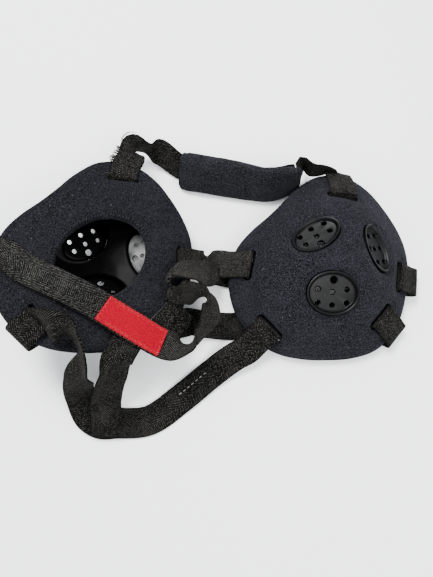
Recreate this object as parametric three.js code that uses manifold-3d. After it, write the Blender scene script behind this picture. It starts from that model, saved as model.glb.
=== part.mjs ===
// Wrestling ear guard lying on a flat surface: a left cup with its padded side up, a right cup with
// its dome up, and the webbing straps and forehead pad that join them.
// Millimetres, +Z up. The sizes below drive everything; the tables hold shares of them.
import * as THREE from "three";
import { mergeVertices } from "three/addons/utils/BufferGeometryUtils.js";
import Module from "manifold-3d";

const wasm = await Module();
wasm.setup();

// Cup sizes
const cup_reach = 66.6;
const cup_rise = 35;
const rim_height = 6.5;
const cover_thick = 2.2;
const shell_thick = 1.8;
const layer_gap = 0.35;
const pad_lip = 3.8;
const shell_share = 0.93;
const ear_wide = 52;
const ear_tall = 65;
const ear_tilt = -45;
const ear_edge_thick = 6;

// Vent sizes
const vent_long = 36;
const vent_wide = 27;
const vent_wall = 1.5;
const vent_plate = 2;
const vent_depth = 2.4;
const vent_sink = 0.9;
const slope_span = 4;
const hole_small = 3.3;
const hole_large = 4.8;

// Strap sizes
const strap_wide = 20;
const strap_thick = 1.4;
const slot_long = 22.6;
const slot_wide = 5;
const loop_slack = 4;
const rim_wrap = 3.2;
const side_wrap = 6.5;
const jaw_wrap = 3.6;
const under_reach = 20;
const side_dip = 3.4;
const jaw_dip = 2.9;
const chin_tuck = 2;
const label_long = 44;
const label_tall = 17;
const label_thick = 0.8;

// Forehead pad sizes
const brow_long = 92;
const brow_wide = 30;
const brow_thick = 9;

// How the two cups lie
const spread = 154;
const cup_level = 15.8;
const left_roll = -1.6;
const left_pitch = 14.5;
const left_turn = 4.3;
const right_roll = 2.7;
const right_pitch = 1.1;
const straps_under = 1.3;

// Fineness of the meshes
const cup_sides = 26;
const vent_sides = 12;
const hole_sides = 6;
const ribbon_step = 8;
const ribbon_ease = 0.12;

// Distance from the cup's centre to its rim, as a share of cup_reach, for each direction in degrees
const outline = [
  { angle: -180, share: 1.006 },
  { angle: -165, share: 1.042 },
  { angle: -150, share: 1.065 },
  { angle: -135, share: 1.068 },
  { angle: -120, share: 1.038 },
  { angle: -105, share: 0.992 },
  { angle: -90, share: 0.966 },
  { angle: -75, share: 0.98 },
  { angle: -60, share: 1.002 },
  { angle: -45, share: 0.989 },
  { angle: -30, share: 0.949 },
  { angle: -15, share: 0.923 },
  { angle: 0, share: 0.932 },
  { angle: 15, share: 0.954 },
  { angle: 30, share: 0.975 },
  { angle: 45, share: 1.02 },
  { angle: 60, share: 1.097 },
  { angle: 75, share: 1.151 },
  { angle: 90, share: 1.108 },
  { angle: 105, share: 0.982 },
  { angle: 120, share: 0.875 },
  { angle: 135, share: 0.845 },
  { angle: 150, share: 0.886 },
  { angle: 165, share: 0.955 },
];

// Dome section: out is the share of the way to the rim, up the share of the rise above the rim
const dome = [
  { out: 0, up: 1 },
  { out: 0.2, up: 0.972 },
  { out: 0.38, up: 0.885 },
  { out: 0.54, up: 0.745 },
  { out: 0.68, up: 0.56 },
  { out: 0.78, up: 0.4 },
  { out: 0.87, up: 0.245 },
  { out: 0.94, up: 0.13 },
  { out: 0.98, up: 0.05 },
  { out: 1, up: -0.03 },
];

// Slots: the direction of each from the cup's centre, its share of the way to the rim and the
// direction its strap leaves in
const left_slots = {
  top: { angle: 76, share: 0.83, facing: 86 },
  ear: { angle: -179, share: 0.86, facing: 168 },
  low: { angle: -131, share: 0.78, facing: -136 },
  jaw: { angle: -43, share: 0.82, facing: -43 },
  side: { angle: -2, share: 0.85, facing: -4 },
};
const right_slots = {
  top: { angle: 75, share: 0.69, facing: 80 },
  ear: { angle: -180, share: 0.8, facing: 168 },
  low: { angle: -133, share: 0.84, facing: -136 },
  jaw: { angle: -46, share: 0.77, facing: -41 },
  side: { angle: -8, share: 0.85, facing: -8 },
};

// Vents: where each centre is from the cup's centre, in shares of cup_reach, and how much of
// vent_wide each has
const left_vents = [
  { across: -0.19, along: 0.33, wide: 0.9 },
  { across: -0.02, along: -0.27, wide: 1.08 },
  { across: 0.49, along: 0.17, wide: 0.8 },
];
const right_vents = [
  { across: -0.15, along: 0.27, wide: 0.88 },
  { across: -0.006, along: -0.36, wide: 1.12 },
  { across: 0.51, along: 0.15, wide: 0.72 },
];

// Vent holes: across in shares of vent_long, along (towards the dome's top) in shares of vent_wide
const holes = [
  { across: -0.27, along: 0.08, wide: hole_small },
  { across: 0, along: 0.02, wide: hole_small },
  { across: 0.27, along: 0.08, wide: hole_small },
  { across: -0.27, along: -0.22, wide: hole_small },
  { across: 0, along: -0.27, wide: hole_small },
  { across: 0.27, along: -0.22, wide: hole_small },
  { across: 0.02, along: 0.29, wide: hole_large },
];

// Pad section from the rim inwards: in is the share of the way from the rim to the ear opening
const padFace = [
  { in: 0, up: 0.42 },
  { in: 0.03, up: 0.12 },
  { in: 0.1, up: 0 },
  { in: 0.55, up: 0 },
  { in: 0.82, up: 0.04 },
  { in: 0.95, up: 0.26 },
  { in: 1, up: 0.6 },
];
const padBack = [
  { in: 0.9, up: 1 },
  { in: 0.7, up: 1.35 },
];

function radians(angle) {
  return (angle * Math.PI) / 180;
}

function smooth(before, from, to, after, part) {
  const a = 2 * from;
  const b = (to - before) * part;
  const c = (2 * before - 5 * from + 4 * to - after) * part * part;
  const d = (3 * from - before - 3 * to + after) * part * part * part;
  return (a + b + c + d) / 2;
}

// Reach of the rim in a direction given in radians
function reachAt(turn) {
  const count = outline.length;
  const place = (((turn / (2 * Math.PI) + 0.5) % 1) + 1) % 1;
  const index = Math.floor(place * count) % count;
  const share = (step) => outline[(index + step + count) % count].share;
  const part = place * count - Math.floor(place * count);
  return cup_reach * smooth(share(-1), share(0), share(1), share(2), part);
}

// Height of the cover's outer face over the rest plane, at a share of the way to the rim
function domeHeight(out) {
  let index = 0;
  while (index < dome.length - 2 && dome[index + 1].out < out) {
    index += 1;
  }
  const from = dome[index];
  const to = dome[index + 1];
  const part = (out - from.out) / (to.out - from.out);
  const up = from.up + (to.up - from.up) * part;
  return rim_height + (cup_rise - rim_height) * up;
}

// How much longer a layer is measured straight up than square to the dome
function steepness(out) {
  const reach = 0.03;
  const inner = Math.max(0, out - reach);
  const outer = Math.min(1, out + reach);
  const slope = (domeHeight(inner) - domeHeight(outer)) / ((outer - inner) * cup_reach);
  return Math.sqrt(1 + slope * slope);
}

// Height of the dome over a point given in the cup's own millimetres
function heightAt(x, y) {
  const out = Math.hypot(x, y) / reachAt(Math.atan2(y, x));
  return domeHeight(Math.min(1, out));
}

function toSolid(geometry) {
  const plain = geometry.clone();
  plain.deleteAttribute("normal");
  plain.deleteAttribute("uv");
  const merged = mergeVertices(plain, 1e-4);
  return new wasm.Manifold(
    new wasm.Mesh({
      numProp: 3,
      vertProperties: new Float32Array(merged.attributes.position.array),
      triVerts: new Uint32Array(merged.index.array),
    }),
  );
}

function toGeometry(solid) {
  const mesh = solid.getMesh();
  const geometry = new THREE.BufferGeometry();
  geometry.setAttribute("position", new THREE.BufferAttribute(new Float32Array(mesh.vertProperties), 3));
  geometry.setIndex(new THREE.BufferAttribute(new Uint32Array(mesh.triVerts), 1));
  return geometry;
}

// A solid from rings of points, all with the same count, save that an end ring may be one point.
// In a thin band both faces are split along the same slant, so that they don't meet where it twists
function stackRings(rings, closed, thin = false) {
  const points = [];
  const faces = [];
  const starts = [];
  for (const ring of rings) {
    starts.push(points.length);
    points.push(...ring);
  }
  const joins = closed ? rings.length : rings.length - 1;
  for (let index = 0; index < joins; index += 1) {
    const next = (index + 1) % rings.length;
    joinRings(faces, starts[index], rings[index].length, starts[next], rings[next].length, thin);
  }
  const geometry = new THREE.BufferGeometry();
  const numbers = points.flatMap((p) => [p.x, p.y, p.z]);
  geometry.setAttribute("position", new THREE.Float32BufferAttribute(numbers, 3));
  geometry.setIndex(enclosedVolume(points, faces) > 0 ? faces : faces.reverse());
  return geometry;
}

// Positive when the faces point outwards
function enclosedVolume(points, faces) {
  let volume = 0;
  for (let face = 0; face < faces.length; face += 3) {
    const [a, b, c] = [points[faces[face]], points[faces[face + 1]], points[faces[face + 2]]];
    volume += a.dot(new THREE.Vector3().crossVectors(b, c)) / 6;
  }
  return volume;
}

function joinRings(faces, first, firstCount, second, secondCount, thin) {
  const count = Math.max(firstCount, secondCount);
  for (let side = 0; side < count; side += 1) {
    const next = (side + 1) % count;
    const a = first + (firstCount === 1 ? 0 : side);
    const b = first + (firstCount === 1 ? 0 : next);
    const c = second + (secondCount === 1 ? 0 : side);
    const d = second + (secondCount === 1 ? 0 : next);
    const slanted = thin && side >= count / 2 && firstCount === secondCount;
    if (firstCount > 1) {
      faces.push(a, b, slanted ? d : c);
    }
    if (secondCount > 1) {
      faces.push(slanted ? a : b, d, c);
    }
  }
}

// One ring round the cup; rule gives the distance out and the height for each direction
function cupRing(rule) {
  const ring = [];
  for (let side = 0; side < cup_sides; side += 1) {
    const turn = (2 * Math.PI * side) / cup_sides - Math.PI;
    const { out, up } = rule(turn);
    ring.push(new THREE.Vector3(out * Math.cos(turn), out * Math.sin(turn), up));
  }
  return ring;
}

// Outer and inner drops of a layer below the dome's outer face, measured square to it
function domeRings(rows, drop) {
  return rows.map((row) => {
    const up = domeHeight(row.out) - drop * steepness(row.out);
    if (row.out === 0) {
      return [new THREE.Vector3(0, 0, up)];
    }
    return cupRing((turn) => ({ out: row.out * reachAt(turn), up }));
  });
}

// The hidden faces need fewer rings
function hiddenRows(last) {
  const kept = dome.filter((row, index) => row.out < shell_share && ![1, 3, 5].includes(index));
  return kept.concat([{ out: last }]);
}

function coverBlank() {
  const lip = shell_share + 0.015;
  const lip_up = pad_lip + layer_gap;
  const outerFace = domeRings(dome, 0);
  const innerFace = domeRings(hiddenRows(lip), cover_thick).reverse();
  const edge = [1, lip].map((share) => cupRing((turn) => ({ out: share * reachAt(turn), up: lip_up })));
  return stackRings([...outerFace, ...edge, ...innerFace], false);
}

function shellBlank() {
  const inside = hiddenRows(shell_share);
  const outerFace = domeRings(inside, cover_thick + layer_gap);
  const innerFace = domeRings(inside, cover_thick + layer_gap + shell_thick).reverse();
  return stackRings([...outerFace, ...innerFace], false);
}

function earReach(turn) {
  const across = ear_wide / 2;
  const along = ear_tall / 2;
  const leant = turn - radians(ear_tilt);
  return (across * along) / Math.hypot(along * Math.cos(leant), across * Math.sin(leant));
}

function padBlank() {
  const stack = cover_thick + shell_thick + 2 * layer_gap;
  const outAt = (turn, inward) => reachAt(turn) + (earReach(turn) - reachAt(turn)) * inward;
  const low = padFace.map((row) => {
    const tall = row.in < 0.5 ? pad_lip : ear_edge_thick;
    return cupRing((turn) => ({ out: outAt(turn, row.in), up: row.up * tall }));
  });
  const high = padBack.map((row) =>
    cupRing((turn) => ({ out: outAt(turn, row.in), up: row.up * ear_edge_thick })),
  );
  const under = [0.78, 0.87, shell_share].map((share) =>
    cupRing((turn) => ({
      out: share * reachAt(turn),
      up: domeHeight(share) - stack * steepness(share),
    })),
  );
  const lip = [shell_share + 0.015, 1].map((share) =>
    cupRing((turn) => ({ out: share * reachAt(turn), up: pad_lip })),
  );
  return stackRings([...low, ...high, ...under, ...lip], true);
}

// Turns a point given out from a slot's middle into the cup's own millimetres
function slotPoint(slot, out, sideways, up) {
  const reach = slot.share * reachAt(radians(slot.angle));
  const facing = radians(slot.facing);
  const x = reach * Math.cos(radians(slot.angle)) + out * Math.cos(facing) - sideways * Math.sin(facing);
  const y = reach * Math.sin(radians(slot.angle)) + out * Math.sin(facing) + sideways * Math.cos(facing);
  return new THREE.Vector3(x, y, up);
}

function boxAlongSlot(slot, from, to, wide, low, high) {
  const box = new THREE.BoxGeometry(to - from, wide, high - low);
  const facing = radians(slot.facing);
  const middle = slotPoint(slot, (from + to) / 2, 0, (low + high) / 2);
  box.rotateZ(facing);
  box.translate(middle.x, middle.y, middle.z);
  return toSolid(box);
}

// Distance out from the slot's middle to the furthest bit of rim that its strap crosses
function rimDistance(slot) {
  let furthest = 0;
  for (const sideways of [-strap_wide / 2, 0, strap_wide / 2]) {
    let out = 0;
    while (inOutline(slotPoint(slot, out, sideways, 0))) {
      out += 0.1;
    }
    furthest = Math.max(furthest, out);
  }
  return furthest;
}

function inOutline(point) {
  return Math.hypot(point.x, point.y) < reachAt(Math.atan2(point.y, point.x));
}

// Turns a shape drawn square to the dome at a vent into the cup's own frame
function ventFrame(vent) {
  const x = vent.across * cup_reach;
  const y = vent.along * cup_reach;
  const slopeX = (heightAt(x + slope_span, y) - heightAt(x - slope_span, y)) / (2 * slope_span);
  const slopeY = (heightAt(x, y + slope_span) - heightAt(x, y - slope_span)) / (2 * slope_span);
  const normal = new THREE.Vector3(-slopeX, -slopeY, 1).normalize();
  const around = new THREE.Vector3(-y, x, 0).normalize();
  const uphill = new THREE.Vector3().crossVectors(normal, around).normalize();
  const frame = new THREE.Matrix4().makeBasis(around, uphill, normal);
  return frame.setPosition(x, y, heightAt(x, y));
}

function ovalSolid(long, wide, low, high, sides, frame) {
  const rod = new THREE.CylinderGeometry(0.5, 0.5, high - low, sides);
  rod.rotateX(Math.PI / 2);
  rod.scale(long, wide, 1);
  rod.translate(0, 0, (high + low) / 2);
  rod.applyMatrix4(frame);
  return toSolid(rod);
}

function addVents(shell, vents) {
  let result = shell;
  const plateTop = -vent_sink - vent_depth;
  const plateBottom = plateTop - vent_plate;
  for (const vent of vents) {
    const frame = ventFrame(vent);
    const wide = vent.wide * vent_wide;
    const boss = ovalSolid(vent_long, wide, plateBottom, -vent_sink, vent_sides, frame);
    const inner = ovalSolid(
      vent_long - 2 * vent_wall,
      wide - 2 * vent_wall,
      plateTop,
      cup_rise,
      vent_sides,
      frame,
    );
    result = result.add(boss).subtract(inner);
    for (const hole of holes) {
      const place = new THREE.Matrix4().makeTranslation(hole.across * vent_long, hole.along * wide, 0);
      const around = frame.clone().multiply(place);
      result = result.subtract(ovalSolid(hole.wide, hole.wide, -cup_rise / 2, 0, hole_sides, around));
    }
  }
  return result;
}

function cutWindows(cover, vents) {
  let result = cover;
  for (const vent of vents) {
    const long = vent_long + 2 * layer_gap;
    const wide = vent.wide * vent_wide + 2 * layer_gap;
    const low = -cup_rise / 2;
    result = result.subtract(ovalSolid(long, wide, low, cup_rise / 2, vent_sides, ventFrame(vent)));
  }
  return result;
}

function clearVents(pad, vents) {
  let result = pad;
  for (const vent of vents) {
    const long = vent_long + 4 * layer_gap;
    const wide = vent.wide * vent_wide + 4 * layer_gap;
    const low = -vent_sink - vent_depth - vent_plate - 2 * layer_gap;
    result = result.subtract(ovalSolid(long, wide, low, cup_rise / 2, vent_sides, ventFrame(vent)));
  }
  return result;
}

function cutSlots(layer, slots) {
  let result = layer;
  for (const slot of Object.values(slots)) {
    const half = slot_wide / 2;
    result = result.subtract(boxAlongSlot(slot, -half, half, slot_long, -cup_rise, 2 * cup_rise));
  }
  return result;
}

// Hollows that the straps press into the pad's face
const bed_depth = strap_thick + 2.5 * layer_gap;

function pressBeds(pad, beds, slots) {
  let result = pad;
  for (const bed of beds) {
    const slot = slots[bed.slot];
    const from = -slot_wide / 2 - bed.inward;
    const wide = slot_long + bed.wider;
    result = result.subtract(boxAlongSlot(slot, from, cup_reach, wide, -cup_rise, bed_depth));
  }
  return result;
}

const leftBeds = [
  { slot: "top", inward: 0, wider: 7 },
  { slot: "side", inward: 0, wider: 0 },
  { slot: "jaw", inward: 0, wider: 0 },
];
const rightBeds = [
  { slot: "ear", inward: 0, wider: 0 },
  { slot: "low", inward: 0, wider: 0 },
  { slot: "jaw", inward: cup_reach / 3, wider: 2 },
  { slot: "side", inward: cup_reach / 3, wider: 2 },
];

// Turns the cup's own frame into the lying cup; the left cup is the right one mirrored
function poseMatrix(mirrored, roll, pitch, turn, x, y, z) {
  const mirror = new THREE.Matrix4().makeScale(1, 1, mirrored ? -1 : 1);
  const tip = new THREE.Matrix4().makeRotationX(radians(roll));
  const lean = new THREE.Matrix4().makeRotationY(radians(pitch));
  const swing = new THREE.Matrix4().makeRotationZ(radians(turn));
  const place = new THREE.Matrix4().makeTranslation(x, y, z);
  return place.multiply(swing).multiply(lean).multiply(tip).multiply(mirror);
}

function lowest(geometry, pose) {
  const moved = geometry.clone().applyMatrix4(pose);
  moved.computeBoundingBox();
  return moved.boundingBox.min.z;
}

// The pose in which a cup's lowest point lies a given lift over the surface
function restPose(geometries, lie) {
  const level = poseMatrix(lie.mirrored, lie.roll, lie.pitch, lie.turn, lie.x, cup_level, 0);
  const depth = Math.min(...geometries.map((geometry) => lowest(geometry, level)));
  return poseMatrix(lie.mirrored, lie.roll, lie.pitch, lie.turn, lie.x, cup_level, lie.lift - depth);
}

function posed(geometry, pose) {
  const moved = geometry.clone().applyMatrix4(pose);
  if (pose.determinant() < 0) {
    const index = moved.index.array;
    for (let face = 0; face < index.length; face += 3) {
      const kept = index[face];
      index[face] = index[face + 1];
      index[face + 1] = kept;
    }
  }
  return moved;
}

// Straps. A station is a point on the strap's middle line and the direction of its left edge.
function station(point, across) {
  return { point, across: across.clone().normalize() };
}

// Height of the strap's middle over the dome where it lies on the cover
function overDome(slot, out) {
  let high = 0;
  for (const sideways of [-strap_wide / 2, 0, strap_wide / 2]) {
    const point = slotPoint(slot, out, sideways, 0);
    high = Math.max(high, heightAt(point.x, point.y));
  }
  const part = Math.min(0.97, slotPoint(slot, out, 0, 0).length() / reachAt(radians(slot.angle)));
  return high + (2 * layer_gap + strap_thick / 2) * steepness(part);
}

// Rows along a slot loop, from the slot's mouth out over one side of the rim
function domeSide(slot, rim) {
  return [
    { out: 1.3, up: overDome(slot, 1.3) - 0.3 },
    { out: 3.4, up: overDome(slot, 3.4) },
    { out: rim / 2 + 1, up: overDome(slot, rim / 2 + 1) },
    { out: rim - 0.4, up: overDome(slot, rim - 0.4) + layer_gap },
  ];
}

function padSide(rim) {
  const up = layer_gap + strap_thick / 2;
  return [
    { out: 1.6, up: up + 0.35 },
    { out: 3.6, up },
    { out: rim / 2 + 1, up },
    { out: rim, up },
  ];
}

function throughSlot(slot) {
  const high = heightAt(slotPoint(slot, 0, 0, 0).x, slotPoint(slot, 0, 0, 0).y);
  return [
    { out: 0.1, up: bed_depth + 1.6 },
    { out: 0, up: high * 0.6 },
    { out: 0.1, up: high - 1.2 },
  ];
}

// A loop whose strap leaves outwards: the end is turned back and lies against the strap
function outwardLoop(slot, mainOverDome, tucked) {
  const rim = rimDistance(slot);
  const thick = strap_thick + layer_gap;
  const middle = rim_height / 2 + thick / 2;
  const onDome = domeSide(slot, rim);
  const onPad = padSide(rim);
  const through = throughSlot(slot);
  if (tucked) {
    onDome.push({ out: rim + loop_slack / 2, up: middle + 0.6 * thick });
    return [...onDome.reverse(), ...through.reverse()];
  }
  const domeReach = (mainOverDome ? 2.25 : 1.9) * loop_slack;
  const padReach = (mainOverDome ? 1.9 : 2.25) * loop_slack;
  onDome.push({ out: rim + loop_slack, up: middle + thick });
  onDome.push({ out: rim + domeReach, up: middle + 0.35 * thick });
  onPad.push({ out: rim + loop_slack, up: middle - 1.1 * thick });
  onPad.push({ out: rim + padReach, up: middle - 0.85 * thick });
  if (mainOverDome) {
    return [...onDome.reverse(), ...through.reverse(), ...onPad];
  }
  return [...onDome.reverse(), ...through.reverse(), ...onPad].reverse();
}

// A loop whose strap comes along the pad from inside, goes round the rim and ends in the slot
function wrappedLoop(slot, bulge, padUp, inward, dip) {
  const rim = rimDistance(slot);
  const top = overDome(slot, rim);
  return [
    { out: -inward, up: padUp - dip },
    { out: -inward / 2, up: padUp - 0.6 * dip },
    { out: rim / 2, up: padUp },
    { out: rim + 0.3 * bulge, up: padUp + 0.1 },
    { out: rim + 0.85 * bulge, up: padUp + 0.25 * (top - padUp) },
    { out: rim + bulge, up: padUp + 0.55 * (top - padUp) },
    { out: rim + 0.75 * bulge, up: padUp + 0.9 * (top - padUp) },
    { out: rim + 0.2 * bulge, up: top + 0.8 },
    ...domeSide(slot, rim).reverse().slice(1),
    ...throughSlot(slot).reverse(),
  ];
}

// Drift is how far sideways, in strap widths, the strap has swung where it leaves the rim
function loopStations(slot, rows, pose, inwardTravel, drift) {
  const facing = radians(slot.facing);
  const side = inwardTravel ? -1 : 1;
  const across = new THREE.Vector3(-Math.sin(facing) * side, Math.cos(facing) * side, 0);
  const turned = across.transformDirection(pose);
  const furthest = Math.max(...rows.map((row) => row.out));
  return rows.map((row) => {
    const swung = row.out > 0 ? drift * strap_wide * (row.out / furthest) ** 2 : 0;
    return station(slotPoint(slot, row.out, swung, row.up).applyMatrix4(pose), turned);
  });
}

// Stations between two ends: along and side are shares of the distance between them, rise is in
// strap widths over the floor, or over the left cup's pad where ride is 1
function routeStations(rows, from, to) {
  const ahead = new THREE.Vector3().subVectors(to, from).setZ(0);
  const left = new THREE.Vector3(-ahead.y, ahead.x, 0);
  return rows.map((row) => {
    const point = from.clone().setZ(0).addScaledVector(ahead, row.along).addScaledVector(left, row.side);
    point.z = row.rise * strap_wide + row.ride * padPlane(point.x, point.y);
    const turn = radians(row.turn);
    const lean = radians(row.lean);
    const flat = Math.cos(lean);
    return station(point, new THREE.Vector3(Math.cos(turn) * flat, Math.sin(turn) * flat, Math.sin(lean)));
  });
}

function ribbon(stations, wide, thick, lift) {
  const curve = new THREE.CatmullRomCurve3(stations.map((s) => s.point), false, "centripetal");
  const last = stations.length - 1;
  const rings = [];
  for (let index = 0; index < last; index += 1) {
    const length = stations[index].point.distanceTo(stations[index + 1].point);
    const steps = Math.max(1, Math.round(length / ribbon_step));
    for (let step = 0; step < steps; step += 1) {
      const ring = ribbonRing(curve, stations, index, step / steps, wide, thick, lift);
      if (rings.length === 0 || movesOn(rings[rings.length - 1], ring)) {
        rings.push(ring);
      }
    }
  }
  const end = ribbonRing(curve, stations, last - 1, 1, wide, thick, lift);
  while (!movesOn(rings[rings.length - 1], end)) {
    rings.pop();
  }
  rings.push(end);
  return stackRings([[middleOf(rings[0])], ...rings, [middleOf(end)]], false, true);
}

function middleOf(ring) {
  return ring.reduce((sum, point) => sum.add(point), new THREE.Vector3()).divideScalar(ring.length);
}

// True where every corner of a band's next section goes on with its middle, so sections never cross
function movesOn(before, ring) {
  const move = middleOf(ring).sub(middleOf(before));
  const least = ribbon_ease * move.lengthSq();
  return ring.every((corner, index) => corner.clone().sub(before[index]).dot(move) > least);
}

function ribbonRing(curve, stations, index, part, wide, thick, lift) {
  const place = (index + part) / (stations.length - 1);
  const point = curve.getPoint(place);
  const ahead = curve.getTangent(place);
  const eased = part * part * (3 - 2 * part);
  const across = stations[index].across.clone().lerp(stations[index + 1].across, eased);
  across.addScaledVector(ahead, -across.dot(ahead)).normalize();
  const normal = new THREE.Vector3().crossVectors(ahead, across).normalize();
  point.addScaledVector(normal, lift);
  const corner = (a, n) =>
    point.clone().addScaledVector(across, (a * wide) / 2).addScaledVector(normal, (n * thick) / 2);
  return [corner(1, -1), corner(1, 1), corner(-1, 1), corner(-1, -1)];
}

// Forehead strap from the left cup's top slot to the forehead pad
const brow_start_rows = [
  { along: -0.002, side: 0.063, rise: 1.15, ride: 0, turn: -155, lean: 56 },
  { along: 0.056, side: 0.095, rise: 0.78, ride: 0, turn: -51, lean: 72 },
  { along: 0.124, side: 0.087, rise: 0.6, ride: 0, turn: 90, lean: 39 },
];

// Forehead strap from the forehead pad to the right cup's top slot
const brow_end_rows = [
  { along: 0.829, side: 0.025, rise: 1, ride: 0, turn: -155, lean: 76 },
  { along: 0.877, side: -0.001, rise: 0.9, ride: 0, turn: -145, lean: 83 },
];

// Rear upper strap, down from the left cup and flat under the right one
const upper_rows = [
  { along: 0.029, side: 0.001, rise: 0.3, ride: 0, turn: 92, lean: 0 },
  { along: 0.169, side: -0.017, rise: 0.06, ride: 0, turn: 90, lean: 0 },
  { along: 0.373, side: 0, rise: 0.05, ride: 0, turn: 88, lean: 0 },
  { along: 0.732, side: 0.045, rise: 0.05, ride: 0, turn: 86, lean: 0 },
];

// Rear lower strap, down from the left cup and flat under the right one
const lower_rows = [
  { along: 0.03, side: 0.055, rise: 0.5, ride: 0, turn: 98, lean: 0 },
  { along: 0.135, side: 0.03, rise: 0.15, ride: 0, turn: 94, lean: 0 },
  { along: 0.261, side: 0, rise: 0.06, ride: 0, turn: 93, lean: 0 },
  { along: 0.48, side: -0.024, rise: 0.05, ride: 0, turn: 88, lean: 0 },
  { along: 0.705, side: -0.051, rise: 0.04, ride: 0, turn: 72, lean: 0 },
];

// Chin strap, over the left cup's edge, down to the floor and back to the right cup
const chin_rows = [
  { along: 0.106, side: -0.048, rise: 0.83, ride: 1, turn: 105, lean: 24 },
  { along: 0.159, side: -0.043, rise: 0.77, ride: 1, turn: 66, lean: 65 },
  { along: 0.195, side: -0.074, rise: 0.64, ride: 1, turn: 32, lean: 70 },
  { along: 0.226, side: -0.115, rise: 0.62, ride: 1, turn: 0, lean: 71 },
  { along: 0.238, side: -0.179, rise: 2.48, ride: 0, turn: -8, lean: 63 },
  { along: 0.195, side: -0.263, rise: 1.5, ride: 0, turn: 16, lean: 42 },
  { along: 0.175, side: -0.337, rise: 0.45, ride: 0, turn: 11, lean: 0 },
  { along: 0.223, side: -0.417, rise: 0.13, ride: 0, turn: 40, lean: -7 },
  { along: 0.288, side: -0.445, rise: 0.07, ride: 0, turn: 58, lean: -2 },
  { along: 0.358, side: -0.436, rise: 0.05, ride: 0, turn: 78, lean: 0 },
  { along: 0.524, side: -0.406, rise: 0.05, ride: 0, turn: 105, lean: 0 },
  { along: 0.685, side: -0.273, rise: 0.05, ride: 0, turn: 127, lean: 0 },
  { along: 0.819, side: -0.141, rise: 0.1, ride: 0, turn: 135, lean: 0 },
  { along: 0.931, side: -0.045, rise: 0.3, ride: 0, turn: 143, lean: 0 },
];

// Chin strap's free tail, from the chin strap up over the left cup's edge
const tail_rows = [
  { along: 0.319, side: -0.504, rise: 0.24, ride: 0, turn: 2, lean: -4 },
  { along: 0.316, side: -0.424, rise: 0.3, ride: 0, turn: 0, lean: -12 },
  { along: 0.313, side: -0.346, rise: 0.65, ride: 0, turn: -5, lean: -31 },
  { along: 0.337, side: -0.27, rise: 1.23, ride: 0, turn: -1, lean: -45 },
  { along: 0.37, side: -0.205, rise: 1.85, ride: 0, turn: 7, lean: -47 },
  { along: 0.38, side: -0.156, rise: 2.11, ride: 0, turn: 6, lean: -24 },
  { along: 0.397, side: -0.09, rise: 1.94, ride: 0, turn: 6, lean: -13 },
  { along: 0.419, side: -0.03, rise: 1.85, ride: 0, turn: 1, lean: -13 },
];

// Crown strap with the label, over the left cup, round on its edge and back to the right cup
const crown_rows = [
  { along: 0.063, side: -0.061, rise: 0.12, ride: 1, turn: 82, lean: -4 },
  { along: 0.215, side: -0.143, rise: 0.2, ride: 1, turn: 79, lean: -4 },
  { along: 0.368, side: -0.231, rise: 0.26, ride: 1, turn: 67, lean: -3 },
  { along: 0.566, side: -0.365, rise: 0.4, ride: 1, turn: 62, lean: -6 },
  { along: 0.719, side: -0.456, rise: 0.27, ride: 1, turn: 61, lean: -10 },
  { along: 0.812, side: -0.466, rise: 1.52, ride: 0, turn: 74, lean: -56 },
  { along: 0.87, side: -0.41, rise: 1.35, ride: 0, turn: 10, lean: -74 },
  { along: 0.936, side: -0.307, rise: 1.3, ride: 0, turn: -4, lean: -52 },
  { along: 0.929, side: -0.228, rise: 1.35, ride: 0, turn: 16, lean: -59 },
  { along: 0.849, side: -0.21, rise: 1.65, ride: 0, turn: -65, lean: -60 },
  { along: 0.766, side: -0.197, rise: 1.9, ride: 0, turn: -66, lean: -54 },
  { along: 0.748, side: -0.148, rise: 2, ride: 0, turn: 99, lean: -64 },
  { along: 0.838, side: -0.093, rise: 1.73, ride: 0, turn: 102, lean: -33 },
  { along: 0.931, side: -0.079, rise: 1.05, ride: 0, turn: 94, lean: -11 },
];

// Forehead pad: its middle is this share of the way between the two top slots' straps
const brow_middle_share = 0.525;

// End is the share of half its length from its middle, bow in pad thicknesses
const brow_rows = [
  { end: -1, bow: -0.28, rise: 0.66, turn: 90, lean: 49 },
  { end: -0.1, bow: -1.02, rise: 0.7, turn: 91, lean: 55 },
  { end: 0.45, bow: -1.45, rise: 0.72, turn: 93, lean: 66 },
  { end: 1, bow: -0.85, rise: 0.78, turn: 93, lean: 84 },
];

// Rounded bar swept along stations, thinning to its two ends; rows give the share of its full size
const brow_ends = [
  { along: 0, size: 0.45 },
  { along: 0.015, size: 0.7 },
  { along: 0.05, size: 0.88 },
  { along: 0.1, size: 0.97 },
  { along: 0.2, size: 1 },
  { along: 0.35, size: 1 },
  { along: 0.5, size: 1 },
];
const brow_section = [
  { across: 1, up: -0.45 },
  { across: 1, up: 0.45 },
  { across: 0.88, up: 0.9 },
  { across: 0.55, up: 1 },
  { across: -0.55, up: 1 },
  { across: -0.88, up: 0.9 },
  { across: -1, up: 0.45 },
  { across: -1, up: -0.45 },
  { across: -0.88, up: -0.9 },
  { across: -0.55, up: -1 },
  { across: 0.55, up: -1 },
  { across: 0.88, up: -0.9 },
];

function browStations(rows, middle, ahead) {
  const left = new THREE.Vector3(-ahead.y, ahead.x, 0);
  return rows.map((row) => {
    const point = middle.clone().addScaledVector(ahead, (row.end * brow_long) / 2);
    point.addScaledVector(left, row.bow * brow_thick);
    point.z = row.rise * strap_wide;
    const turn = radians(row.turn);
    const flat = Math.cos(radians(row.lean));
    const up = Math.sin(radians(row.lean));
    return station(point, new THREE.Vector3(Math.cos(turn) * flat, Math.sin(turn) * flat, up));
  });
}

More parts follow.
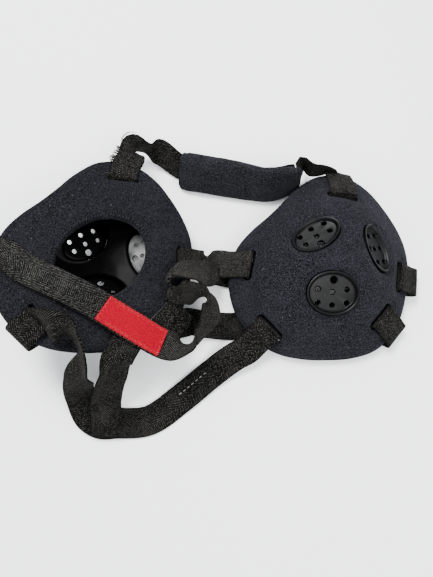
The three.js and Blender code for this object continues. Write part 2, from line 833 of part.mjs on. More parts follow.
// Middle line, width direction and face direction of the forehead pad at a share of its length
function browFrame(stations, curve, along) {
  const place = along * (stations.length - 1);
  const index = Math.min(stations.length - 2, Math.floor(place));
  const across = stations[index].across.clone().lerp(stations[index + 1].across, place - index);
  const point = curve.getPoint(along);
  const ahead = curve.getTangent(along);
  across.addScaledVector(ahead, -across.dot(ahead)).normalize();
  const normal = new THREE.Vector3().crossVectors(ahead, across).normalize();
  return { point, across, normal };
}

function browSolid(stations) {
  const curve = new THREE.CatmullRomCurve3(stations.map((s) => s.point));
  const back = brow_ends.slice(0, -1).reverse().map((row) => ({ along: 1 - row.along, size: row.size }));
  const rings = [...brow_ends, ...back].map((row) => {
    const { point, across, normal } = browFrame(stations, curve, row.along);
    const thin = 0.5 + row.size / 2;
    return brow_section.map((corner) =>
      point
        .clone()
        .addScaledVector(across, (corner.across * row.size * brow_wide) / 2)
        .addScaledVector(normal, (corner.up * thin * brow_thick) / 2),
    );
  });
  const first = new THREE.Vector3();
  const last = new THREE.Vector3();
  rings[0].forEach((p) => first.addScaledVector(p, 1 / brow_section.length));
  rings[rings.length - 1].forEach((p) => last.addScaledVector(p, 1 / brow_section.length));
  return stackRings([[first], ...rings, [last]], false);
}

// Stations of the strap that lies along the back of the forehead pad
function behindBrowPad(stations) {
  const curve = new THREE.CatmullRomCurve3(stations.map((s) => s.point));
  const away = brow_thick / 2 + strap_thick / 2 + 6 * layer_gap;
  return [0, 0.1, 0.2, 0.35, 0.5, 0.65, 0.8, 0.9, 1].map((along) => {
    const { point, across, normal } = browFrame(stations, curve, along);
    return station(point.addScaledVector(normal, -away), across);
  });
}

function cupCover(slots, vents) {
  return toGeometry(cutSlots(cutWindows(toSolid(coverBlank()), vents), slots));
}

function cupShell(slots, vents) {
  return toGeometry(cutSlots(addVents(toSolid(shellBlank()), vents), slots));
}

function cupPad(slots, vents, beds) {
  return toGeometry(pressBeds(cutSlots(clearVents(toSolid(padBlank()), vents), slots), beds, slots));
}

const leftCover = cupCover(left_slots, left_vents);
const leftShell = cupShell(left_slots, left_vents);
const leftPad = cupPad(left_slots, left_vents, leftBeds);
const rightCover = cupCover(right_slots, right_vents);
const rightShell = cupShell(right_slots, right_vents);
const rightPad = cupPad(right_slots, right_vents, rightBeds);

const aside = spread / 2;
const leftLie = { mirrored: true, roll: left_roll, pitch: left_pitch, turn: left_turn, x: -aside, lift: 0 };
const leftPose = restPose([leftCover, leftShell, leftPad], leftLie);
const rightLie = {
  mirrored: false,
  roll: right_roll,
  pitch: right_pitch,
  turn: 0,
  x: aside,
  lift: straps_under,
};
const rightPose = restPose([rightCover, rightPad], rightLie);

// Height of the left pad's face over the floor
function padPlane(x, y) {
  const origin = new THREE.Vector3().applyMatrix4(leftPose);
  const normal = new THREE.Vector3(0, 0, -1).transformDirection(leftPose);
  return origin.z - (normal.x * (x - origin.x) + normal.y * (y - origin.y)) / normal.z;
}

function leftOutward(slot, drift) {
  return loopStations(slot, outwardLoop(slot, false, false), leftPose, false, drift);
}

function rightInward(slot, drift, tucked) {
  return loopStations(slot, outwardLoop(slot, true, tucked), rightPose, true, drift);
}

const onPad = -2.5 * layer_gap - strap_thick / 2;
const inBed = layer_gap + strap_thick / 2;
const topStart = leftOutward(left_slots.top, -0.3);
const topEnd = rightInward(right_slots.top, 0.2, true);
const sideStart = leftOutward(left_slots.side, 0);
const sideLoop = wrappedLoop(right_slots.side, side_wrap, inBed, under_reach, side_dip);
const sideEnd = loopStations(right_slots.side, sideLoop, rightPose, false, 0);
const jawStart = leftOutward(left_slots.jaw, 0);
const jawLoop = wrappedLoop(right_slots.jaw, jaw_wrap, inBed, under_reach, jaw_dip);
const jawEnd = loopStations(right_slots.jaw, jawLoop, rightPose, false, 0);
const chinLoop = wrappedLoop(left_slots.low, rim_wrap, onPad, -chin_tuck, 0);
const chinStart = loopStations(left_slots.low, chinLoop, leftPose, true, 0).reverse();
const chinEnd = rightInward(right_slots.low, 0, false);
const crownLoop = wrappedLoop(left_slots.ear, rim_wrap, onPad, 0, 0);
const crownStart = loopStations(left_slots.ear, crownLoop, leftPose, true, 0).reverse();
const crownEnd = rightInward(right_slots.ear, 0, false);

// The label lies on the crown strap, a little above its upper face
const label_steps = 8;

function labelShape(stations) {
  const curve = new THREE.CatmullRomCurve3(stations.map((s) => s.point), false, "centripetal");
  const first = crownStart.length;
  const middle = (first + 3) / (stations.length - 1);
  const lift = strap_thick / 2 + layer_gap + label_thick / 2;
  const placed = [];
  const length = curve.getLength();
  const centre = arcShare(curve, middle);
  for (let step = 0; step <= label_steps; step += 1) {
    const share = centre + ((step / label_steps - 0.5) * label_long) / length;
    const place = curve.getUtoTmapping(share);
    const spot = place * (stations.length - 1);
    const index = Math.floor(spot);
    const part = spot - index;
    const eased = part * part * (3 - 2 * part);
    const across = stations[index].across.clone().lerp(stations[index + 1].across, eased);
    placed.push(station(curve.getPoint(place), across));
  }
  return ribbon(placed, label_tall, label_thick, lift);
}

// Share of the whole length at which a curve's own place lies
function arcShare(curve, place) {
  const lengths = curve.getLengths(400);
  return lengths[Math.round(place * 400)] / lengths[400];
}

function route(rows, start, end) {
  return routeStations(rows, start[start.length - 1].point, end[0].point);
}

function strapShape(stations) {
  return ribbon(stations, strap_wide, strap_thick, 0);
}

const browFrom = topStart[topStart.length - 1].point;
const browTo = topEnd[0].point;
const browMiddle = browFrom.clone().lerp(browTo, brow_middle_share).setZ(0);
const browAhead = new THREE.Vector3().subVectors(browTo, browFrom).setZ(0).normalize();
const browLine = browStations(brow_rows, browMiddle, browAhead);
const behindBrow = behindBrowPad(browLine);

const browStrap = [
  ...topStart,
  ...route(brow_start_rows, topStart, topEnd),
  ...behindBrow,
  ...route(brow_end_rows, topStart, topEnd),
  ...topEnd,
];
const upperStrap = [...sideStart, ...route(upper_rows, sideStart, sideEnd), ...sideEnd];
const lowerStrap = [...jawStart, ...route(lower_rows, jawStart, jawEnd), ...jawEnd];
const chinStrap = [...chinStart, ...route(chin_rows, chinStart, chinEnd), ...chinEnd];
const chinTail = route(tail_rows, chinStart, chinEnd);
const crownRoute = route(crown_rows, crownStart, crownEnd);
const crownStrap = [...crownStart, ...crownRoute, ...crownEnd];

const black_cloth = { color: 0x1d2028, roughness: 0.95, metalness: 0 };
const grey_webbing = { color: 0x3a3a36, roughness: 0.9, metalness: 0 };
const black_plastic = { color: 0x1a1b1d, roughness: 0.35, metalness: 0 };
const red_cloth = { color: 0xd32f3d, roughness: 0.8, metalness: 0 };

const pieces = [
  { name: "left_cover", shape: posed(leftCover, leftPose), look: black_cloth },
  { name: "left_shell", shape: posed(leftShell, leftPose), look: black_plastic },
  { name: "left_pad", shape: posed(leftPad, leftPose), look: black_cloth },
  { name: "right_cover", shape: posed(rightCover, rightPose), look: black_cloth },
  { name: "right_shell", shape: posed(rightShell, rightPose), look: black_plastic },
  { name: "right_pad", shape: posed(rightPad, rightPose), look: black_cloth },
  { name: "forehead_pad", shape: browSolid(browLine), look: black_cloth },
  { name: "forehead_strap", shape: strapShape(browStrap), look: grey_webbing },
  { name: "rear_upper_strap", shape: strapShape(upperStrap), look: grey_webbing },
  { name: "rear_lower_strap", shape: strapShape(lowerStrap), look: grey_webbing },
  { name: "chin_strap", shape: strapShape(chinStrap), look: grey_webbing },
  { name: "chin_tail", shape: strapShape(chinTail), look: grey_webbing },
  { name: "crown_strap", shape: strapShape(crownStrap), look: grey_webbing },
  { name: "label", shape: labelShape(crownStrap), look: red_cloth },
];

const group = new THREE.Group();
group.name = "wrestling_ear_guard";
const whole = new THREE.Box3();
for (const piece of pieces) {
  piece.shape.computeBoundingBox();
  whole.union(piece.shape.boundingBox);
}
for (const piece of pieces) {
  piece.shape.translate(-(whole.min.x + whole.max.x) / 2, -(whole.min.y + whole.max.y) / 2, -whole.min.z);
  piece.shape.computeVertexNormals();
  const look = new THREE.MeshStandardMaterial({ ...piece.look, name: piece.name });
  const mesh = new THREE.Mesh(piece.shape, look);
  mesh.name = piece.name;
  group.add(mesh);
}

export default group;
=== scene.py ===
"""Wrestling ear guard lying on a pale surface: fine surfaces and materials over the solid model."""

import math
import random

import bmesh
import bpy
import numpy as np
from mathutils import Matrix, Vector, noise


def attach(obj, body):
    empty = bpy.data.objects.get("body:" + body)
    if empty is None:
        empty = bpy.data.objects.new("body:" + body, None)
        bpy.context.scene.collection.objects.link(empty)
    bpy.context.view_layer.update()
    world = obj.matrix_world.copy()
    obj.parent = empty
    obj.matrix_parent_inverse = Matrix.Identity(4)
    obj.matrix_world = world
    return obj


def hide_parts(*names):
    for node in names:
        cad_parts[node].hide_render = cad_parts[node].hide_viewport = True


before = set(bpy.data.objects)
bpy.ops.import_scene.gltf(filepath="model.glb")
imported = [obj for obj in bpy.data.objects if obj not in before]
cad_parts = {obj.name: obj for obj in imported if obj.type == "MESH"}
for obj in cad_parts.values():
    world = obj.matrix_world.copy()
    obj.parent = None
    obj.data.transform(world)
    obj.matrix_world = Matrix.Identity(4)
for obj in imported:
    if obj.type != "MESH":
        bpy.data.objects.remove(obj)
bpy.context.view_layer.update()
random.seed(7)

MM = 0.001

# Camera, in metres and degrees in the object's frame
picture_width = 433
picture_height = 577
focal_pixels = 464
sensor_wide = 36
camera_above_floor = 73
camera_distance = 0.328
camera_target = (0.000448, -0.008818, 0.014126)

# Cup sizes in millimetres
cup_reach = 66.6
cup_rise = 35
rim_height = 6.5
cover_thick = 2.2
shell_thick = 1.8
layer_gap = 0.35
pad_lip = 3.8
shell_share = 0.93
ear_wide = 52
ear_tall = 65
ear_tilt = -45

# Vent sizes; heights are over the dome at the vent, the middle is a share of the plate
vent_long = 36
vent_wide = 27
hole_small = 3.3
hole_large = 4.8
hole_bevel = 0.75
hole_bevel_heights = (-3.75, -3.0)
hole_cut_heights = (-9, 1)
vent_plate_top = -3.35
vent_plate_under = -5.8
vent_plate_middle = 0.12

# Windows round the vents in each layer: how much wider than the vent, how deep under the dome
cover_window = (0.5, 12)
shell_window = (-0.6, 14)
pad_window = (1.6, 6.8)
window_top = 12
slot_cut_heights = (-5, 45)

# Strap sizes
strap_wide = 20
strap_thick = 1.4
slot_long = 22.6
slot_wide = 5
pad_slot_wide = 3.4
bed_depth = strap_thick + 2.5 * layer_gap
label_long = 44
label_tall = 17
label_thick = 0.8

# Forehead pad sizes; shares are of the way from its left end to its right end
brow_long = 92
brow_wide = 30
brow_thick = 9
brow_seam_deep = 0.5
brow_seam_wide = 0.008
brow_seam_shares = (0.045, 0.955)
brow_cord_radius = 0.55

# Cloth relief: how far it swells or dips, and the seam beside the rim
cover_uneven = 0.45
pad_uneven = 0.4
pad_swell = 0.25
seam_inset = 3.6
seam_wide = 0.7
seam_deep = 0.55
vent_dip = 1.3
slot_dip = 0.9
boss_rise = 1.7

# Stitches and threads: counts, and radii in millimetres
opening_stitch_count = 96
opening_stitch_radius = 0.3
seam_stitch_count = 118
seam_stitch_radius = 0.2
seam_stitch_half = 0.8
pad_seam_share = 0.125
pad_seam_height = 0.72
label_side_stitches = 26
label_end_stitches = 10
label_stitch_radius = 0.17
label_stitch_half = 0.75
label_side_row = 7.2
label_end_inset = 0.9
label_end_start = -6.4
label_end_step = 1.4
label_edge_threads = 90
label_thread_radius = 0.09
frayed_yarns = 110
frayed_reach = 2.6
frayed_radius = 0.15
loose_thread_radius = 0.22
chin_stitch_count = 7
chin_stitch_step = 3.6
chin_stitch_across = 3
chin_stitch_half = 1.1
chin_stitch_radius = 0.28

# Points in the object's frame nearest the label's middle, the fray and the chin stitches' start
label_near = (-53, -41.4, 41)
fray_near = (-66, 91, 34)
chin_stitch_start = (-26, -78, 1.5)

# The vent in the left cup that the light reaches; its plate gets a pale copy of the plastic, a painted
# highlight
brightly_lit_vent = ("left", 3)

# Half the floor's width in metres
floor_half = 6

# Fineness: points round and across, and the step along straps in millimetres
around = 260
outwards = 46
shell_rows = 34
dish_sides = 88
hole_sides = 28
strap_step = 1.6

# Distance from the cup's centre to its rim every 15 degrees from -180, as a share of cup_reach
outline = [
    1.006, 1.042, 1.065, 1.068, 1.038, 0.992, 0.966, 0.98, 1.002, 0.989, 0.949, 0.923,
    0.932, 0.954, 0.975, 1.02, 1.097, 1.151, 1.108, 0.982, 0.875, 0.845, 0.886, 0.955,
]

# Dome section: share of the way to the rim, share of the rise
dome_out = [0, 0.2, 0.38, 0.54, 0.68, 0.78, 0.87, 0.94, 0.98, 1]
dome_up = [1, 0.972, 0.885, 0.745, 0.56, 0.4, 0.245, 0.13, 0.05, -0.03]

# Slots: angle of the middle, share of the way to the rim, direction the strap leaves in
left_slots = {
    "top": (76, 0.83, 86),
    "ear": (-179, 0.86, 168),
    "low": (-131, 0.78, -136),
    "jaw": (-43, 0.82, -43),
    "side": (-2, 0.85, -4),
}
right_slots = {
    "top": (75, 0.69, 80),
    "ear": (-180, 0.8, 168),
    "low": (-133, 0.84, -136),
    "jaw": (-46, 0.77, -41),
    "side": (-8, 0.85, -8),
}

# Beds pressed into the pads: slot, how far inwards, how much wider than the slot
left_beds = [("top", 0, 7), ("side", 0, 0), ("jaw", 0, 0)]
right_beds = [("ear", 0, 0), ("low", 0, 0), ("jaw", cup_reach / 3, 2), ("side", cup_reach / 3, 2)]

# Vent centres in shares of cup_reach, and how much of vent_wide each has
left_vents = [(-0.19, 0.33, 0.9), (-0.02, -0.27, 1.08), (0.49, 0.17, 0.8)]
right_vents = [(-0.15, 0.27, 0.88), (-0.006, -0.36, 1.12), (0.51, 0.15, 0.72)]

# Vent holes: across in shares of vent_long, along in shares of vent_wide, width
holes = [
    (-0.27, 0.08, hole_small),
    (0, 0.02, hole_small),
    (0.27, 0.08, hole_small),
    (-0.27, -0.22, hole_small),
    (0, -0.27, hole_small),
    (0.27, -0.22, hole_small),
    (0.02, 0.29, hole_large),
]


def cup_place(mirrored, roll, pitch, turn, centre):
    """Turns the cup's own frame into the lying cup."""
    mirror = Matrix.Diagonal((1, 1, -1 if mirrored else 1, 1))
    tip = Matrix.Rotation(math.radians(roll), 4, "X")
    lean = Matrix.Rotation(math.radians(pitch), 4, "Y")
    swing = Matrix.Rotation(math.radians(turn), 4, "Z")
    return Matrix.Translation(centre) @ swing @ lean @ tip @ mirror


left_place = cup_place(True, -1.6, 14.5, 4.3, (-76.55, 6.98, 36.98))
right_place = cup_place(False, 2.7, 1.1, 0, (77.45, 6.98, 4.58))

# Middle lines of the straps, in millimetres: x, y, z, then the direction of the strap's left edge,
# which a row leaves out where it stays as in the row before
forehead_line = [
    (-61.9, 91.7, 26.4, -0.97, 0, 0.25), (-64.1, 86.7, 27.7), (-65.1, 82.8, 29.3), (-66.4, 77.2, 29.9),
    (-66.9, 73.2, 30.2), (-67.1, 71.1, 30), (-67.7, 69.5, 27.7), (-69, 69.2, 22.5), (-70.3, 69, 17.7),
    (-70.7, 70.2, 15.9), (-70.4, 72.3, 16.7), (-69.3, 76.6, 18.8), (-67.1, 82, 22.1), (-65, 86.5, 24.1),
    (-63.1, 90.2, 24.6), (-63, 100, 23.1, -0.51, -0.24, 0.83), (-53.8, 104.6, 15.7, 0.19, -0.24, 0.95),
    (-43.4, 102.9, 12.1, 0, 0.78, 0.63), (-26.6, 91.7, 8.6, 0.11, 0.64, 0.76),
    (-13.9, 89.2, 9, 0.11, 0.61, 0.78), (-1.2, 86.8, 9.5, 0.1, 0.59, 0.8),
    (16, 83.6, 10.1, 0.1, 0.55, 0.83), (27.8, 81, 10.8, 0.1, 0.47, 0.88),
    (37.5, 79.7, 11.5, -0.01, 0.41, 0.91), (47.4, 81, 12.9, -0.1, 0.27, 0.96),
    (54.7, 82.8, 13.9, -0.09, 0.18, 0.98), (62.7, 84.6, 15, -0.06, 0.09, 0.99),
    (65.5, 88.9, 20.1, -0.22, -0.1, 0.97), (72.8, 84.6, 18.1, -0.1, -0.07, 0.99),
    (91.9, 83.9, 13.1, 0.98, -0.17, -0.03), (92.2, 81.3, 16.4), (92.8, 70.2, 23.1), (92.1, 60.4, 28.5),
    (91.8, 58.2, 29.4), (91.6, 57.1, 27.5), (91.4, 57.4, 19.9), (91.3, 57.9, 10.6),
]
rear_upper_line = [
    (-8.5, 8.9, 16.8, -0.01, 1, -0.04), (-13.3, 8.9, 18.4), (-16.9, 8.9, 20.5), (-20.4, 8.9, 21.4),
    (-22.4, 8.9, 22), (-24.4, 8.9, 22.1), (-26.5, 8.8, 20.1), (-27.8, 8.6, 15.5), (-28.8, 8.4, 11),
    (-28, 8.3, 9.2), (-25.7, 8.3, 9.9), (-23.1, 8.4, 10.9), (-19.2, 8.6, 13.1), (-14.2, 8.7, 14.9),
    (-10.4, 8.8, 15.1), (-6.9, 8.7, 6.1, -0.03, 1, 0), (9.7, 5.7, 1.3, 0, 1, 0),
    (34.3, 6.5, 1.1, 0.03, 1, 0), (77.6, 9.7, 1.1, 0.07, 1, 0), (109.4, 2.6, 1.4, 0.14, 0.99, 0.04),
    (119.3, 1.1, 2.5), (133.9, -1, 4.2), (140.4, -1.9, 4.1), (144, -2.5, 5.6), (145, -2.7, 7.6),
    (143.4, -2.6, 10), (139.9, -2.2, 11.5), (135.1, -1.6, 15), (132.9, -1.4, 16.7), (130.8, -1.2, 18),
    (129.6, -0.9, 16.5), (129.4, -0.7, 11.9), (129.4, -0.5, 7.1),
]
rear_lower_line = [
    (-20.2, -40, 22.1, 0.6, 0.78, -0.19), (-23.9, -36.8, 23.4), (-26.7, -34.3, 25.1), (-30.5, -31.1, 26),
    (-33.1, -29, 26.5), (-34.7, -27.8, 26.5), (-36.5, -27, 24.4), (-37.9, -27.2, 18.9),
    (-39.1, -27.5, 13.8), (-38.6, -28.3, 12), (-36.7, -29.5, 12.9), (-33.4, -31.7, 14.8),
    (-28.9, -34.4, 17.8), (-24.8, -37, 19.8), (-21.8, -39.2, 20.3), (-19.5, -32, 10.1, -0.14, 0.99, 0),
    (-6.4, -32.5, 3.1, -0.07, 1, 0), (9.4, -33.2, 1.3, -0.05, 1, 0), (36.1, -31.1, 1.1, 0.03, 1, 0),
    (63.5, -29.2, 0.9, 0.31, 0.95, 0), (97.6, -16.3, 1.2, 0.66, 0.75, 0.02), (105.1, -22.9, 1.9),
    (118.4, -34.5, 2.9), (124.9, -40.2, 2.6), (126.4, -41.6, 4.1), (126.9, -42, 6.1), (126.3, -41.5, 8.5),
    (124.8, -40.3, 10), (119.4, -35.8, 15.5), (115.6, -32.6, 19.6), (114, -31.3, 20.9),
    (113.1, -30.4, 19.3), (112.9, -30, 13.2), (112.9, -29.8, 6),
]
chin_line = [
    (-109.1, -37.4, 43.4, -0.73, 0.67, 0.15), (-110.8, -37.7, 36.8), (-112.3, -38, 31), (-113.6, -39, 29.4),
    (-114.6, -40.5, 30.9), (-117.3, -44.5, 35.7), (-120.9, -50, 42.2), (-121.6, -51.2, 44.2),
    (-121.3, -51.7, 47.6), (-120.3, -51.2, 50.2), (-118.6, -49.8, 52), (-112.8, -43.1, 50.3),
    (-108.4, -37.8, 48.9), (-109, -38.6, 49.1), (-95.7, -46.2, 61, -0.24, 0.88, 0.41),
    (-88.7, -46.2, 58, 0.17, 0.39, 0.91), (-84.4, -50.7, 54.6, 0.29, 0.18, 0.94),
    (-80.8, -56.5, 53.5, 0.33, 0, 0.95), (-80, -65, 49.7, 0.45, -0.06, 0.89),
    (-86.7, -75.5, 30.1, 0.71, 0.2, 0.67), (-90.2, -84.9, 9.1, 0.98, 0.19, 0),
    (-85, -96, 2.7, 0.76, 0.64, -0.12), (-76.8, -100.5, 1.5, 0.53, 0.85, -0.03),
    (-67.5, -100.2, 1.1, 0.21, 0.98, 0), (-45.4, -98.3, 1.1, -0.26, 0.97, 0),
    (-22.6, -82.9, 1.1, -0.6, 0.8, 0), (-3.4, -67.3, 2.1, -0.71, 0.71, 0), (12.5, -56.1, 6.1, -0.8, 0.6, 0),
    (22.1, -51, 7.6, -0.69, 0.72, 0.05), (25.7, -47.6, 8.9), (28.9, -44.7, 11.7), (32.1, -41.8, 15.4),
    (34.6, -39.6, 17.6), (36.1, -38.2, 18.8), (36.9, -37.3, 17), (36.9, -37, 12.3), (36.8, -36.8, 7.2),
    (35.6, -37.8, 4.7), (34.2, -39.1, 4.3), (31.9, -41.3, 4.2), (28.5, -44.6, 4.1), (25.6, -47.4, 5.2),
    (23.1, -50, 5.6),
]
tail_line = [
    (-73.5, -108.6, 4.9, 1, 0.03, -0.07), (-72.8, -98.1, 6.1, 0.98, 0, -0.21),
    (-72.3, -87.8, 13.1, 0.85, -0.07, -0.52), (-68.2, -78.2, 24.7, 0.71, -0.01, -0.71),
    (-63, -70.1, 37.1, 0.68, 0.08, -0.73), (-61.1, -63.8, 42.3, 0.91, 0.1, -0.41),
    (-58.1, -55.3, 38.9, 0.97, 0.1, -0.22), (-54.4, -47.7, 37.1, 0.97, 0.02, -0.22),
]
crown_line = [
    (-133.3, 1.6, 47.7, 0.12, 0.99, -0.08), (-134.3, 1.4, 43.4), (-135.5, 1.2, 39.1), (-137.1, 1.3, 37.8),
    (-138.8, 1.6, 39.5), (-140.6, 2, 41.5), (-143.9, 2.7, 45.6), (-145.2, 3.1, 47.7), (-145.1, 3.3, 51),
    (-144, 3.4, 53.6), (-141.7, 3.2, 55.4), (-136.3, 2.5, 54.1), (-131.9, 1.9, 53), (-131.9, 1.9, 53),
    (-122.8, -5.7, 51.8, 0.14, 0.99, -0.07), (-101.7, -15.3, 48.5, 0.19, 0.98, -0.07),
    (-80.3, -25.6, 44.7, 0.39, 0.92, -0.05), (-52.5, -41.7, 41.2, 0.47, 0.88, -0.1),
    (-31.1, -52.5, 33.6, 0.48, 0.86, -0.17), (-18.5, -52.9, 30.5, 0.15, 0.54, -0.83),
    (-11.3, -44.8, 27.1, 0.27, 0.05, -0.96), (-3.4, -30.4, 26.1, 0.61, -0.04, -0.79),
    (-5.1, -19.9, 27.1, 0.5, 0.14, -0.86), (-16, -18.2, 33.1, 0.21, -0.45, -0.87),
    (-27.3, -17.3, 38.1, 0.24, -0.54, -0.81), (-30.1, -10.9, 40.1, -0.07, 0.43, -0.9),
    (-18.6, -2.6, 34.7, -0.17, 0.82, -0.54), (-6.3, 0.1, 21.1, -0.07, 0.98, -0.19),
    (2.2, 11.4, 11, 0.21, 0.98, 0.04), (7.2, 10.3, 12), (11.5, 9.2, 14.7), (16.7, 7.9, 18.9),
    (20.8, 6.9, 21.8), (22.9, 6.4, 23), (24.1, 6.3, 21.3), (24.1, 6.5, 15.7), (23.8, 6.8, 9.5),
    (22.3, 7.2, 7.1), (20.4, 7.7, 6.8), (16.4, 8.5, 6.9), (11, 9.7, 7), (7.1, 10.5, 8.3), (3.6, 11.2, 8.8),
]

# Middle line of the forehead pad, likewise
brow_line = [
    (-27.8, 86.2, 13.3, 0, 0.66, 0.75), (13.3, 77.9, 14.1, -0.01, 0.57, 0.82),
    (38.4, 73, 14.5, -0.02, 0.41, 0.91), (63.9, 77.4, 15.7, -0.01, 0.1, 0.99),
]


def spline_row(values, place, closed):
    """Value of a uniform Catmull-Rom curve through a row of numbers at an index place."""
    count = len(values)
    index = np.floor(place).astype(int)
    part = place - index

    def at(step):
        if closed:
            return np.asarray(values)[(index + step) % count]
        return np.asarray(values)[np.clip(index + step, 0, count - 1)]

    a, b, c, d = at(-1), at(0), at(1), at(2)
    first = 2 * b
    second = (c - a) * part
    third = (2 * a - 5 * b + 4 * c - d) * part**2
    fourth = (3 * b - a - 3 * c + d) * part**3
    return (first + second + third + fourth) / 2


def reach_at(turn):
    """Distance from the cup's centre to its rim in a direction given in radians."""
    place = np.mod(turn / (2 * np.pi) + 0.5, 1) * len(outline)
    return cup_reach * spline_row(outline, place, True)


def dome_height(out):
    """Height of the cover's outer face over the cup's base plane."""
    place = np.interp(out, dome_out, np.arange(len(dome_out)))
    up = spline_row(dome_up, place, False)
    straight = np.interp(out, dome_out, dome_up)
    return rim_height + (cup_rise - rim_height) * (0.7 * up + 0.3 * straight)


def steepness(out):
    """How much longer the dome's slope is than its run."""
    inner = np.maximum(0, out - 0.03)
    outer = np.minimum(1, out + 0.03)
    slope = (dome_height(inner) - dome_height(outer)) / ((outer - inner) * cup_reach)
    return np.sqrt(1 + slope**2)


def height_at(x, y):
    """Height of the cover's outer face at a point of the cup."""
    out = np.hypot(x, y) / reach_at(np.arctan2(y, x))
    return dome_height(np.minimum(1, out))


def smooth_step(low, high, value):
    """Eased way of a value from low to high, 0 to 1."""
    part = np.clip((value - low) / (high - low), 0, 1)
    return part * part * (3 - 2 * part)


def ear_reach(turn):
    """Distance from the cup's centre to the ear opening, a leaning oval."""
    across, along = ear_wide / 2, ear_tall / 2
    leant = turn - math.radians(ear_tilt)
    return across * along / np.hypot(along * np.cos(leant), across * np.sin(leant))


def slot_frame(slot):
    """Middle of a slot and its outward and sideways directions."""
    angle, share, facing = slot
    reach = share * reach_at(math.radians(angle))
    middle = np.array([reach * math.cos(math.radians(angle)), reach * math.sin(math.radians(angle))])
    out = np.array([math.cos(math.radians(facing)), math.sin(math.radians(facing))])
    return middle, out, np.array([-out[1], out[0]])


def slot_way(x, y, slot):
    """How far a point lies outwards and sideways from a slot's middle."""
    middle, out, side = slot_frame(slot)
    x, y = x - middle[0], y - middle[1]
    return x * out[0] + y * out[1], abs(x * side[0] + y * side[1])


def vent_frame(vent):
    """Matrix from a shape drawn square to the dome at a vent to the cup's own frame."""
    x, y = vent[0] * cup_reach, vent[1] * cup_reach
    step = 4
    slope_x = (height_at(x + step, y) - height_at(x - step, y)) / (2 * step)
    slope_y = (height_at(x, y + step) - height_at(x, y - step)) / (2 * step)
    normal = Vector((-slope_x, -slope_y, 1)).normalized()
    sideways = Vector((-y, x, 0)).normalized()
    uphill = normal.cross(sideways).normalized()
    sideways = uphill.cross(normal)
    turn = Matrix((sideways, uphill, normal)).transposed().to_4x4()
    return Matrix.Translation((x, y, float(height_at(x, y)))) @ turn


def vent_distance(x, y, vent):
    """How far a point lies from a vent's middle, 1 on its edge."""
    centre_x, centre_y = vent[0] * cup_reach, vent[1] * cup_reach
    length = math.hypot(centre_x, centre_y)
    side_x, side_y = -centre_y / length, centre_x / length
    across = (x - centre_x) * side_x + (y - centre_y) * side_y
    along = (x - centre_x) * -side_y + (y - centre_y) * side_x
    return np.hypot(across / (vent_long / 2), along / (vent[2] * vent_wide / 2))


def new_object(name, points, faces, place=None):
    """A piece from points in millimetres."""
    mesh = bpy.data.meshes.new(name)
    mesh.from_pydata([tuple(float(n) * MM for n in p) for p in points], [], [tuple(f) for f in faces])
    mesh.validate()
    piece = bpy.data.objects.new(name, mesh)
    bpy.context.scene.collection.objects.link(piece)
    if place is not None:
        shift = place.copy()
        shift.translation = place.translation * MM
        mesh.transform(shift)
    sheet = bmesh.new()
    sheet.from_mesh(mesh)
    bmesh.ops.recalc_face_normals(sheet, faces=sheet.faces)
    sheet.to_mesh(mesh)
    sheet.free()
    return piece


def grid_faces(rows, columns, closed_rows):
    """Quads of a grid that closes round its columns, and round its rows where asked."""
    faces = []
    for row in range(rows if closed_rows else rows - 1):
        following = (row + 1) % rows
        for column in range(columns):
            beside = (column + 1) % columns
            faces.append(
                (row * columns + column, row * columns + beside, following * columns + beside,
                 following * columns + column)
            )
    return faces


def tube_faces(rows, columns):
    """Faces of a tube of rings, closed at both ends."""
    faces = grid_faces(rows, columns, False)
    faces.append(tuple(range(columns)))
    faces.append(tuple(reversed(range((rows - 1) * columns, rows * columns))))
    return faces


def finish_piece(piece, material, nodes=(), angle=60):
    """Gives a piece its material, smooth shading up to an angle, body and replaced solids."""
    piece.data.materials.clear()
    piece.data.materials.append(material)
    for face in piece.data.polygons:
        face.material_index = 0
        face.use_smooth = True
    piece.data.set_sharp_from_angle(angle=math.radians(angle))
    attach(piece, "root")
    if nodes:
        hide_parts(*nodes)


def cut(piece, cutters):
    """Takes the cutters' solids out of a piece."""
    for cutter in cutters:
        change = piece.modifiers.new("cut", "BOOLEAN")
        change.operation = "DIFFERENCE"
        change.solver = "MANIFOLD"
        change.object = cutter
        bpy.context.view_layer.update()
        bake(piece)
        bpy.data.objects.remove(cutter)


def bake(piece):
    """Turns a piece's modifiers into its mesh."""
    graph = bpy.context.evaluated_depsgraph_get()
    mesh = bpy.data.meshes.new_from_object(piece.evaluated_get(graph))
    piece.modifiers.clear()
    piece.data = mesh


def oval(half_long, half_wide, up, sides):
    turns = [2 * math.pi * side / sides for side in range(sides)]
    return [(half_long * math.cos(turn), half_wide * math.sin(turn), up) for turn in turns]


def cutter(low_ring, high_ring, place):
    """A closed solid between two rings of points."""
    count = len(low_ring)
    faces = [tuple(reversed(range(count))), tuple(range(count, 2 * count))]
    faces += [(s, (s + 1) % count, count + (s + 1) % count, count + s) for s in range(count)]
    return new_object("cutter", low_ring + high_ring, faces, place)


def oval_cutter(long, wide, low, high, place, sides=72):
    low_ring, high_ring = (oval(long / 2, wide / 2, up, sides) for up in (low, high))
    return cutter(low_ring, high_ring, place)


def slot_cutter(slot, place, wide):
    """A slit with rounded ends, right through the cup."""
    middle, out, side = slot_frame(slot)
    radius = wide / 2
    arc_steps = 8
    ring = []
    for end in (1, -1):
        for step in range(arc_steps + 1):
            turn = math.pi * step / arc_steps - math.pi / 2
            along = end * (slot_long / 2 - radius + radius * math.cos(turn))
            across = end * radius * math.sin(turn)
            ring.append(middle + side * along + out * across)
    low_ring, high_ring = ([(p[0], p[1], up) for p in ring] for up in slot_cut_heights)
    return cutter(low_ring, high_ring, place)


